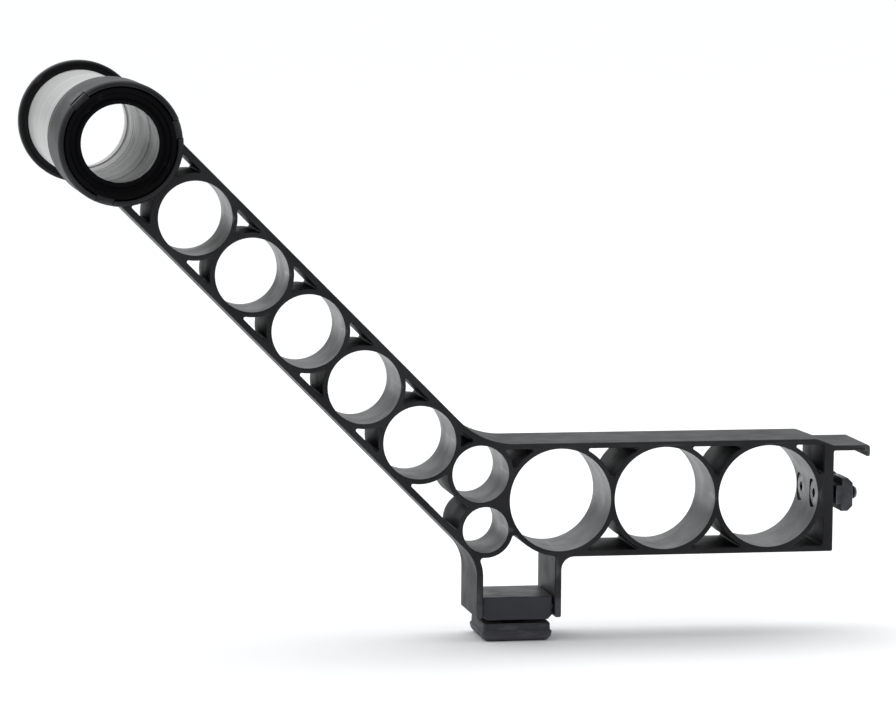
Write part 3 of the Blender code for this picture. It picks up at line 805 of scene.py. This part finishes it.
def turned_plastic(name, dark, light, roughness, line_size):
    """Smooth plastic with fine lines running round the roller's axis."""
    mat, tree, shader, coords = new_material(name)
    lines = noise(tree, coords, line_size, 3.0, (60.0, 1.0, 60.0))
    bands = noise(tree, coords, line_size * 9.0, 3.0, (40.0, 1.0, 40.0))
    broad = remap(tree, bands, 0.36, 0.64, 0.0, 1.0)
    haze = remap(tree, noise(tree, coords, 16.0, 4.0), 0.35, 0.7, 0.0, 1.0)
    speck = remap(tree, noise(tree, coords, 0.5, 2.0), 0.68, 0.80, 0.0, 1.0)

    tone = maths(tree, "MULTIPLY", broad, 0.7)
    tone = maths(tree, "ADD", tone, maths(tree, "MULTIPLY", haze, 0.3))
    colour = mix(tree, tone, dark, light)
    colour = mix(tree, maths(tree, "MULTIPLY", speck, 0.18), colour, tuple(0.72 * c for c in dark))
    tree.links.new(colour, shader.inputs["Base Color"])
    rough = maths(tree, "ADD", maths(tree, "MULTIPLY", haze, 0.12), roughness - 0.06)
    tree.links.new(rough, shader.inputs["Roughness"])
    bump(tree, shader, [(lines, 0.020, 0.5)])
    return mat


def pad_rubber(name):
    """Matt dark rubber: pebbled skin, scuffed where it is rubbed, and paler near the ground as a
    painted reflection of the floor.
    """
    mat, tree, shader, coords = new_material(name)
    pebbles = noise(tree, coords, 0.45, 3.0)
    skin = noise(tree, coords, 2.2, 4.0)
    rubbed = noise(tree, coords, 3.0, 6.0, (2.5, 2.5, 0.6))
    scuffs = remap(tree, rubbed, 0.52, 0.68, 0.0, 1.0)
    split = tree.nodes.new("ShaderNodeSeparateXYZ")
    tree.links.new(coords, split.inputs["Vector"])
    low = remap(tree, split.outputs["Z"], 0.2, 3.2, 1.0, 0.0)
    cloud = remap(tree, skin, 0.3, 0.7, 0.0, 1.0)
    colour = mix(tree, cloud, (0.020, 0.020, 0.026), (0.036, 0.036, 0.043))
    # Paler towards the ground: a painted reflection of the pale floor.
    colour = mix(tree, maths(tree, "MULTIPLY", low, 0.55), colour, (0.085, 0.084, 0.094))
    colour = mix(tree, maths(tree, "MULTIPLY", scuffs, 0.25), colour, (0.14, 0.14, 0.14))
    tree.links.new(colour, shader.inputs["Base Color"])
    tree.links.new(remap(tree, skin, 0.3, 0.7, 0.58, 0.74), shader.inputs["Roughness"])
    bump(tree, shader, [(skin, 0.05, 0.3), (pebbles, 0.03, 0.5)])
    return mat


def blackened_steel(name):
    """Black-oxide steel: fine turning lines, a cloudy oxide and edges rubbed towards bare steel."""
    mat, tree, shader, coords = new_material(name)
    lines = noise(tree, coords, 0.12, 2.0, (1.0, 30.0, 30.0))
    cloud = remap(tree, noise(tree, coords, 2.5, 5.0), 0.3, 0.7, 0.0, 1.0)
    edge_mask = patchy_edges(tree, coords)
    colour = mix(tree, cloud, (0.035, 0.035, 0.040), (0.075, 0.075, 0.082))
    colour = mix(tree, maths(tree, "MULTIPLY", edge_mask, 0.5), colour, (0.28, 0.28, 0.29))
    tree.links.new(colour, shader.inputs["Base Color"])
    tree.links.new(remap(tree, cloud, 0.0, 1.0, 0.28, 0.44), shader.inputs["Roughness"])
    shader.inputs["Metallic"].default_value = 1.0
    bump(tree, shader, [(lines, 0.010, 0.5)])
    return mat


# The edge colour of each moulded plastic is partly wear and partly a painted highlight.
ARM_BLACK = moulded_plastic(
    "arm_black", dark=(0.006, 0.006, 0.007), light=(0.018, 0.018, 0.020),
    worn_and_highlight=(0.110, 0.110, 0.115), roughness=0.54, grain=0.16, dust=0.05, specular=0.24)
RING_BLACK = moulded_plastic(
    "ring_black", dark=(0.0015, 0.0015, 0.002), light=(0.003, 0.003, 0.004),
    worn_and_highlight=(0.020, 0.020, 0.022), roughness=0.55, grain=0.12, dust=0.03, specular=0.06)
CAP_BLACK = moulded_plastic(
    "cap_black", dark=(0.004, 0.004, 0.005), light=(0.008, 0.008, 0.009),
    worn_and_highlight=(0.045, 0.045, 0.045), roughness=0.42, grain=0.12, dust=0.05, specular=0.15)
# The arm's own black plastic, made lighter and glossier for the round cells' inner walls: painted
# light on walls that the side light falls on.
CELL_WALL_PAINTED_LIGHT = moulded_plastic(
    "cell_wall_painted_light", dark=(0.016, 0.016, 0.017), light=(0.034, 0.034, 0.035),
    worn_and_highlight=(0.075, 0.075, 0.075), roughness=0.36, grain=0.10, specular=0.50)
COLLAR_GREY = moulded_plastic(
    "collar_grey", dark=(0.038, 0.038, 0.032), light=(0.058, 0.057, 0.049),
    worn_and_highlight=(0.12, 0.12, 0.11), roughness=0.55, grain=0.14, specular=0.18)
FOOT_DARK = moulded_plastic(
    "foot_plastic", dark=(0.020, 0.020, 0.028), light=(0.030, 0.030, 0.041),
    worn_and_highlight=(0.085, 0.085, 0.095), roughness=0.46, grain=0.18, specular=0.40)
FOOT_RUBBER = pad_rubber("foot_rubber")
TUBE_GREY = turned_plastic(
    "tube_grey", dark=(0.29, 0.29, 0.285), light=(0.40, 0.40, 0.39),
    roughness=0.40, line_size=0.22)
# Copy of the tube's plastic for the inside of its bore, much paler than the outside: painted light
# where the bore is lit through, with strong bands as painted shade lines of its steps.
TUBE_BORE_PAINTED_LIGHT = turned_plastic(
    "tube_bore_painted_light", dark=(0.34, 0.34, 0.33), light=(0.94, 0.94, 0.92),
    roughness=0.42, line_size=0.25)
BUSH_NATURAL = turned_plastic(
    "bush_natural", dark=(0.66, 0.64, 0.55), light=(0.76, 0.74, 0.66),
    roughness=0.38, line_size=0.30)
WASHER_WHITE = turned_plastic(
    "washer_white", dark=(0.74, 0.74, 0.71), light=(0.84, 0.84, 0.81),
    roughness=0.42, line_size=0.30)
STEEL = blackened_steel("fastener_steel")


# ---------- pieces ----------


def finish_piece(item, node, body):
    even_shading(item)
    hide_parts(node)
    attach(item, body)


def in_round_cell(centre, normal):
    """True for a face on the inner wall of one of the arm's round cells."""
    if abs(normal.y) > 0.5:
        return False
    cells = [(cell, LEVEL_HOLE) for cell in LEVEL_CENTRES]
    cells += [(cell, SLOPE_HOLE) for cell in SLOPE_CENTRES]
    cells += [(UPPER_RING, UPPER_HOLE), (LOWER_RING, LOWER_HOLE)]
    return any(hypot(centre.x - x, centre.z - z) < radius + GAP for (x, z), radius in cells)


def in_tube_bore(centre, _normal):
    """True for a face of the tube that is nearer the axis than its bore, give or take a groove."""
    return hypot(centre.x - HUB[0], centre.z - HUB[1]) < TUBE_BORE + GAP


def on_hub(item, angle):
    """Move a block drawn along X to the hub's front, turned about its axis."""
    item.rotation_euler = (0.0, -radians(angle), 0.0)
    item.location = Vector(hub_point()) * MM
    return item


def make_arm():
    """Lattice, hub wall with its lug slots, screw seats, and the grooves for the foot block."""
    back = BACK_Y - BACK_STEP
    arm = moulded("arm_moulding", arm_outline(), arm_holes(), FRONT_Y, back, ARM_BLACK)
    lip_front = HUB_LENGTH - HUB_LIP
    wall = eased([
        (HUB_RADIUS, 0.0, 1.2),
        (HUB_RADIUS, HUB_LENGTH, 0.5),
        (HUB_LIP_RADIUS, HUB_LENGTH, 0.4),
        (HUB_LIP_RADIUS, lip_front, 0.3),
        (HUB_BORE, lip_front, 0.0),
        (HUB_BORE, 0.0, 0.3),
    ])
    combine(arm, [turned("hub_wall", wall, None, hub_point(), steps=120)], "UNION")

    cutters = []
    half = LUG_WIDTH / 2 + LUG_GAP
    slot_low = (LUG_SLOT_INNER, -CUT_START, -half)
    slot_high = (LUG_SLOT_OUTER, LOCK_FRONT + LUG_DEPTH + LUG_GAP, half)
    for i, angle in enumerate(LUG_ANGLES):
        cutters.append(on_hub(block(f"lug_slot_{i}", slot_low, slot_high), angle))

    head_hole = SCREW_HEAD + GAP
    shank_hole = SCREW_RADIUS + 2 * GAP
    seat = [
        (0.0, -SEAT_LEAD),
        (head_hole, -SEAT_LEAD),
        (head_hole, SEAT_RIM),
        (shank_hole, SCREW_HEAD_HEIGHT + 0.4),
        (shank_hole, CUT_THROUGH),
        (0.0, CUT_THROUGH),
    ]
    for i, y in enumerate((-SCREW_Y, SCREW_Y)):
        origin = (SCREW_LOW.x, y, LEVEL_Z)
        cutters.append(turned(f"screw_seat_{i}", seat, None, origin, axis="X", steps=48))

    depth = BLOCK_HIGH.y + GAP
    inner_leg = POST_HALF - RAIL
    for side in (1, -1):
        near, far = sorted((side * (inner_leg - CUT_START), side * (inner_leg + RIB_DEPTH)))
        low = (near, -depth, RIB_Z - GROOVE_HALF)
        high = (far, depth, RIB_Z + GROOVE_HALF)
        cutters.append(block(f"leg_groove_{side + 1}", low, high))
    combine(arm, cutters, "DIFFERENCE")
    # The cells' inner walls get the lighter, glossier copy of the arm's plastic, as painted light.
    repaint(arm, CELL_WALL_PAINTED_LIGHT, in_round_cell)
    finish_piece(arm, "spool_arm", "stand")


def make_foot():
    """Block held between the legs by a rib on each side, and the rubber pad pressed into it."""
    half = POST_HALF - RAIL - GAP
    rib = half + RIB_DEPTH - GAP
    right_side = [
        (half - BLOCK_CHAMFER, BLOCK_LOW.z),
        (half, BLOCK_LOW.z + BLOCK_CHAMFER),
        (half, RIB_Z - RIB_ROOT_HALF),
        (rib, RIB_Z - RIB_TIP_HALF),
        (rib, RIB_Z + RIB_TIP_HALF),
        (half, RIB_Z + RIB_ROOT_HALF),
        (half, BLOCK_HIGH.z),
    ]
    outline = right_side + [(-x, z) for x, z in reversed(right_side)]
    front, back = BLOCK_LOW.y, BLOCK_HIGH.y
    foot_block = moulded("foot_block_body", outline, [], front, back, FOOT_DARK, edge=0.4)
    radius = STEM_RADIUS + GAP
    end = STEM_REACH + GAP
    hole = [(0.0, -CUT_START), (radius, -CUT_START), (radius, end), (0.0, end)]
    cutter = turned("stem_hole", hole, None, (0.0, 0.0, BLOCK_LOW.z), axis="Z", steps=48)
    combine(foot_block, [cutter], "DIFFERENCE")
    finish_piece(foot_block, "foot_block", "stand")

    x, y = PAD_HIGH.x, PAD_HIGH.y
    top = PAD_TOP
    pad = stacked("foot_pad_rubber", [
        (0.0, x - 1.2, y - 1.2, 1.0),
        (0.15, x - 0.9, y - 0.9, 1.1),
        (1.0, x - 0.25, y - 0.25, 1.2),
        (1.9, x - 0.04, y - 0.04, 1.2),
        (2.3, x, y, 1.2),
        (2.55, x - 0.05, y - 0.05, 1.2),
        (2.7, x - 0.3, y - 0.3, 1.1),
        (2.9, x - 0.4, y - 0.4, 1.1),
        (top - 0.5, x - 0.45, y - 0.45, 1.1),
        (top - 0.15, x - 0.6, y - 0.6, 1.1),
        (top, x - 0.95, y - 0.95, 0.9),
    ], FOOT_RUBBER)
    stem_top = BLOCK_LOW.z + STEM_REACH - top
    stem = eased([
        (0.0, -STEM_ROOT, 0.0),
        (STEM_RADIUS, -STEM_ROOT, 0.0),
        (STEM_RADIUS, stem_top, 0.5),
        (0.0, stem_top, 0.0),
    ], closed=False)
    combine(pad, [turned("pad_stem", stem, None, (0.0, 0.0, top), axis="Z", steps=48)], "UNION")
    finish_piece(pad, "foot_pad", "stand")


def screw_profile(length):
    """Countersunk screw: head, then a thread of shallow ridges down to a pointed end."""
    points = [(0.0, 0.0), (SCREW_HEAD - 0.15, 0.0), (SCREW_HEAD, 0.15), (SCREW_HEAD, 0.35)]
    points.append((SCREW_RADIUS, SCREW_HEAD_HEIGHT))
    root = SCREW_RADIUS - THREAD_DEPTH
    start = SCREW_HEAD_HEIGHT + 0.8
    turns = int((length - 0.6 - start) / THREAD_PITCH)
    for i in range(turns):
        at = start + i * THREAD_PITCH
        valley = [(root, at + part * THREAD_PITCH) for part in (0.45, 0.55)]
        points += [(SCREW_RADIUS, at)] + valley
    points.append((SCREW_RADIUS, start + turns * THREAD_PITCH))
    return points + [(SCREW_RADIUS - 0.5, length), (0.0, length)]


def make_mounting():
    """Two countersunk hex screws and the slot nuts they pull against the frame."""
    length = SCREW_HIGH.x - SCREW_LOW.x
    hex_radius = SOCKET_HEX / sqrt(3.0)
    neck, back = NUT_LOW.x, NUT_HIGH.x
    half = (NUT_HIGH.z - NUT_LOW.z) / 2
    reach = (NUT_HIGH.y - NUT_LOW.y) / 2
    body = neck + NUT_NECK
    lower = [
        (back, -half + NUT_CHAMFER),
        (back - NUT_CHAMFER, -half),
        (body, -half),
        (body, -NUT_NECK_HALF),
        (neck, -NUT_NECK_HALF),
    ]
    section = [(x, LEVEL_Z + z) for x, z in lower + [(x, -z) for x, z in reversed(lower)]]
    section.reverse()
    for label, y in (("front", -SCREW_Y), ("rear", SCREW_Y)):
        origin = (SCREW_LOW.x, y, LEVEL_Z)
        profile = screw_profile(length)
        screw = turned(f"mount_screw_{label}_part", profile, STEEL, origin, axis="X", steps=48)
        socket = [
            (0.0, -CUT_START),
            (hex_radius, -CUT_START),
            (hex_radius, SOCKET_DEPTH),
            (0.0, SOCKET_DEPTH + SOCKET_POINT),
        ]
        cutter = turned(f"socket_{label}", socket, None, origin, axis="X", steps=6)
        combine(screw, [cutter], "DIFFERENCE")
        finish_piece(screw, f"mount_screw_{label}", "stand")

        front, rear = y - reach, y + reach
        nut = moulded(f"slot_nut_{label}_part", section, [], front, rear, STEEL, edge=0.25)
        bore = SCREW_RADIUS + GAP
        hole = [
            (0.0, -CUT_START),
            (bore + NUT_LEAD_IN, -CUT_START),
            (bore, 0.4),
            (bore, CUT_THROUGH),
            (0.0, CUT_THROUGH),
        ]
        face = (neck, y, LEVEL_Z)
        cutter = turned(f"nut_hole_{label}", hole, None, face, axis="X", steps=48)
        combine(nut, [cutter], "DIFFERENCE")
        finish_piece(nut, f"slot_nut_{label}", "stand")


def make_lock_ring():
    """Recessed ring that closes the hub, with three lugs that lie in the hub wall's slots."""
    face = LOCK_FRONT + LOCK_RECESS
    groove = (LOCK_BORE + LOCK_RIM) / 2 + 0.2
    profile = eased([
        (LOCK_BORE, face, 0.5),
        (groove - 0.35, face, 0.1),
        (groove - 0.2, face + 0.35, 0.1),
        (groove + 0.2, face + 0.35, 0.1),
        (groove + 0.35, face, 0.1),
        (LOCK_RIM, face, 0.4),
        (LOCK_RIM + 0.5, LOCK_FRONT, 0.3),
        (HUB_BORE - GAP, LOCK_FRONT, 0.25),
        (HUB_BORE - GAP, LOCK_BACK, 0.3),
        (LOCK_BORE, LOCK_BACK, 0.4),
    ])
    lock = turned("lock_ring_part", profile, RING_BLACK, hub_point(), steps=120)
    half = LUG_WIDTH / 2
    low = (LOCK_RIM + LUG_ROOT, LOCK_FRONT + LUG_STEP, -half)
    high = (HUB_RADIUS - LUG_INSET, LOCK_FRONT + LUG_DEPTH, half)
    lugs = [
        on_hub(block(f"lug_{i}", low, high, ARM_BLACK, LUG_EDGE), angle)
        for i, angle in enumerate(LUG_ANGLES)
    ]
    combine(lock, lugs, "UNION")
    finish_piece(lock, "lock_ring", "stand")


def square_section(inner, outer, start, end, fillet):
    """Rectangular section of a turned part, its corners rounded."""
    corners = ((inner, start), (outer, start), (outer, end), (inner, end))
    return eased([(radius, distance, fillet) for radius, distance in corners])


def make_bearing():
    """Two plain bushes that carry the roller's journal, and the washer that faces the clip."""
    inner = JOURNAL_RADIUS + GAP
    outer = HUB_BORE - GAP
    washer_front = CLIP_FRONT + CLIP_THICK + GAP
    bush_front = washer_front + WASHER_THICK + GAP
    pieces = (
        ("thrust_washer", washer_front, WASHER_THICK, WASHER_WHITE, "washer_white", 0.12),
        ("front_bush", bush_front, BUSH_LENGTH, BUSH_NATURAL, "bush_natural", 0.3),
        ("rear_bush", hub_distance(BUSH_LOW.y), BUSH_LENGTH, BUSH_NATURAL, "bush_natural", 0.3),
    )
    for node, start, length, mat, slot, fillet in pieces:
        end = start + length
        profile = square_section(inner, outer, start, end, fillet)
        finish_piece(turned(f"{node}_part", profile, mat, hub_point()), node, "stand")


def make_roller():
    """The turning parts: the tube and its journal, the collar, the far flange and the clip."""
    spigot_end = TUBE_END + SPIGOT_LENGTH
    groove_front = CLIP_FRONT - GAP
    groove_back = CLIP_FRONT + CLIP_THICK + GAP
    groove_radius = JOURNAL_RADIUS - CLIP_GROOVE_DEPTH
    rib = TUBE_END - FAR_RIB
    ribbed = TUBE_BORE - FAR_RIB_HEIGHT
    grooved = TUBE_BORE + FAR_GROOVE_DEPTH
    drafted = TUBE_BORE - BORE_STEP
    relieved = TUBE_BORE + RELIEF_DEPTH
    profile = eased([
        (JOURNAL_BORE, LOCK_BACK + GAP, 0.5),
        (JOURNAL_RADIUS, LOCK_BACK + GAP, 0.4),
        (JOURNAL_RADIUS, groove_front, 0.1),
        (groove_radius, groove_front, 0.1),
        (groove_radius, groove_back, 0.1),
        (JOURNAL_RADIUS, groove_back, 0.1),
        (JOURNAL_RADIUS, SHOULDER, 0.15),
        (TUBE_RADIUS, SHOULDER, 0.3),
        (TUBE_RADIUS, TUBE_END, 0.3),
        (SPIGOT_RADIUS, TUBE_END, 0.15),
        (SPIGOT_RADIUS, spigot_end, 0.25),
        (TUBE_BORE, spigot_end, 0.3),
        (TUBE_BORE, rib + 1.2, 0.2),
        (ribbed, rib + 0.8, 0.15),
        (ribbed, rib, 0.15),
        (TUBE_BORE, rib - 0.4, 0.2),
        (TUBE_BORE, rib - 12.0, 0.1),
        (grooved, rib - 12.3, 0.1),
        (grooved, rib - 13.7, 0.1),
        (drafted, rib - 14.0, 0.1),
        (drafted, SHOULDER + 22.0, 0.05),
        (TUBE_BORE, SHOULDER + 21.7, 0.05),
        (TUBE_BORE, SHOULDER + 4.2, 0.1),
        (relieved, SHOULDER + 4.0, 0.1),
        (relieved, SHOULDER + 2.8, 0.1),
        (JOURNAL_BORE + 0.9, SHOULDER + 2.6, 0.1),
        (JOURNAL_BORE, SHOULDER + 1.6, 0.35),
    ])
    tube = turned("roller_tube_part", profile, TUBE_GREY, hub_point(), steps=128)
    # The bore's faces get the pale copy of the tube's plastic: painted light with painted shade
    # bands.
    repaint(tube, TUBE_BORE_PAINTED_LIGHT, in_tube_bore)
    finish_piece(tube, "roller_tube", "roller")

    inner = TUBE_RADIUS + GAP
    start, end = SHOULDER, hub_distance(COLLAR_HIGH.y)
    profile = eased([
        (inner, start, 0.15),
        (COLLAR_RADIUS, start, 0.4),
        (COLLAR_RADIUS, end - 1.9, 0.1),
        (COLLAR_RADIUS - 0.3, end - 1.6, 0.1),
        (COLLAR_RADIUS - 0.3, end - 1.2, 0.1),
        (COLLAR_RADIUS - 0.05, end - 0.95, 0.1),
        (COLLAR_RADIUS - 0.05, end, 0.6),
        (inner, end, 0.2),
    ])
    collar = turned("near_collar_part", profile, COLLAR_GREY, hub_point(), steps=120)
    finish_piece(collar, "near_collar", "roller")

    inner = SPIGOT_RADIUS + GAP
    start, end = hub_distance(FLANGE_LOW.y), hub_distance(FLANGE_HIGH.y)
    profile = eased([
        (inner, start, 0.15),
        (TUBE_RADIUS + 0.5, start, 0.1),
        (TUBE_RADIUS + 0.6, start + 0.3, 0.1),
        (TUBE_RADIUS + 1.4, start + 0.3, 0.1),
        (TUBE_RADIUS + 1.5, start, 0.1),
        (FLANGE_RADIUS, start, 0.9),
        (FLANGE_RADIUS, end, 0.9),
        (inner + 1.0, end, 0.2),
        (inner, end - 0.5, 0.2),
    ])
    flange = turned("far_flange_part", profile, CAP_BLACK, hub_point(), steps=128)
    finish_piece(flange, "far_flange", "roller")

    inner = groove_radius + GAP
    outer = HUB_BORE - 2 * GAP
    back = CLIP_FRONT + CLIP_THICK
    profile = square_section(inner, outer, CLIP_FRONT, back, 0.15)
    sweep = 360.0 - CLIP_OPENING
    clip = turned("retaining_clip_part", profile, STEEL, hub_point(), sweep=sweep, start=90.0)
    finish_piece(clip, "retaining_clip", "roller")


# ---------- surroundings ----------

# The camera's place in millimetres, and its roll in degrees
EYE = (-239.3, -1151.0, 208.4)
ROLL = 0.5
VIEW_MARGIN = 1.04
PICTURE_SHAPE = 896 / 714
AIMING_STEPS = 3

# In metres: the camera's range, the floor's half width and drop below the pad, and each soft
# box's place and size
NEAR_CLIP = 0.01
FAR_CLIP = 100.0
FLOOR_HALF = 30.0
FLOOR_DROP = 0.0002
TOP_BOX = Vector((-0.25, 0.25, 0.9))
TOP_BOX_SIZE = (0.9, 0.7)
TOP_BOX_POWER = 3.0
LEFT_BOX = Vector((-0.9, 0.1, 0.35))
LEFT_BOX_SIZE = (0.7, 0.6)
LEFT_BOX_POWER = 1.5


def make_camera():
    """Long lens from the left, a little above, with the whole object in the picture."""
    low, high = CAD_BOX
    eye = Vector(EYE) * MM
    corners = [Vector(corner) for corner in product(*zip(low, high))]
    target = (low + high) / 2
    camera = bpy.data.cameras.new("camera")
    item = new_item("camera", camera)
    item.location = eye
    roll = Quaternion((0.0, 0.0, 1.0), radians(ROLL))
    for _ in range(AIMING_STEPS):
        turn = (target - eye).to_track_quat("-Z", "Y") @ roll
        local = [turn.inverted() @ (corner - eye) for corner in corners]
        across = [point.x / -point.z for point in local]
        up = [point.y / -point.z for point in local]
        middle = Vector(((min(across) + max(across)) / 2, (min(up) + max(up)) / 2, -1.0))
        target = eye + turn @ middle * (target - eye).length
    half_width = (max(across) - min(across)) / 2 * VIEW_MARGIN
    half_height = (max(up) - min(up)) / 2 * VIEW_MARGIN
    half = max(half_width, half_height * PICTURE_SHAPE)
    item.rotation_mode = "QUATERNION"
    item.rotation_quaternion = (target - eye).to_track_quat("-Z", "Y") @ roll
    camera.lens = camera.sensor_width / 2 / half
    camera.clip_start, camera.clip_end = NEAR_CLIP, FAR_CLIP
    bpy.context.scene.camera = item


def area_light(name, place, target, size, power):
    light = bpy.data.lights.new(name, "AREA")
    light.shape = "RECTANGLE"
    light.size, light.size_y = size
    light.energy = power
    item = new_item(name, light)
    item.location = place
    item.rotation_mode = "QUATERNION"
    item.rotation_quaternion = (Vector(target) - Vector(place)).to_track_quat("-Z", "Y")


def make_stage():
    """Pale floor, a bright dome that is dimmer in front, and two soft boxes."""
    bm = bmesh.new()
    bmesh.ops.create_grid(bm, x_segments=1, y_segments=1, size=FLOOR_HALF)
    mesh = bpy.data.meshes.new("floor")
    bm.to_mesh(mesh)
    bm.free()
    floor = new_item("floor", mesh)
    floor.location = (0.0, 0.0, -FLOOR_DROP)
    mat, tree, shader, coords = new_material("floor_paper")
    tone = remap(tree, noise(tree, coords, 0.8, 3.0), 0.3, 0.7, 0.0, 1.0)
    colour = mix(tree, tone, (0.875, 0.875, 0.878), (0.89, 0.89, 0.892))
    tree.links.new(colour, shader.inputs["Base Color"])
    shader.inputs["Roughness"].default_value = 0.9
    shader.inputs["Specular IOR Level"].default_value = 0.2
    mesh.materials.append(mat)

    world = bpy.data.worlds.new("studio")
    world.use_nodes = True
    bpy.context.scene.world = world
    tree = world.node_tree
    background = tree.nodes["Background"]
    coords = tree.nodes.new("ShaderNodeTexCoord")
    split = tree.nodes.new("ShaderNodeSeparateXYZ")
    tree.links.new(coords.outputs["Generated"], split.inputs["Vector"])
    behind = remap(tree, split.outputs["Y"], -0.75, 0.35, 0.16, 1.0)
    height = remap(tree, split.outputs["Z"], 0.05, 0.45, 0.55, 1.0)
    above = remap(tree, split.outputs["Z"], 0.1, 0.8, 0.0, 0.65)
    strength = maths(tree, "ADD", maths(tree, "MULTIPLY", behind, height), above)
    tree.links.new(strength, background.inputs["Strength"])
    background.inputs["Color"].default_value = (0.97, 0.985, 1.0, 1.0)

    centre = (CAD_BOX[0] + CAD_BOX[1]) / 2
    area_light("top_box", centre + TOP_BOX, centre, TOP_BOX_SIZE, TOP_BOX_POWER)
    area_light("left_box", centre + LEFT_BOX, centre, LEFT_BOX_SIZE, LEFT_BOX_POWER)
    bpy.context.scene.view_settings.view_transform = "Standard"


make_arm()
make_foot()
make_mounting()
make_lock_ring()
make_bearing()
make_roller()
make_stage()
make_camera()
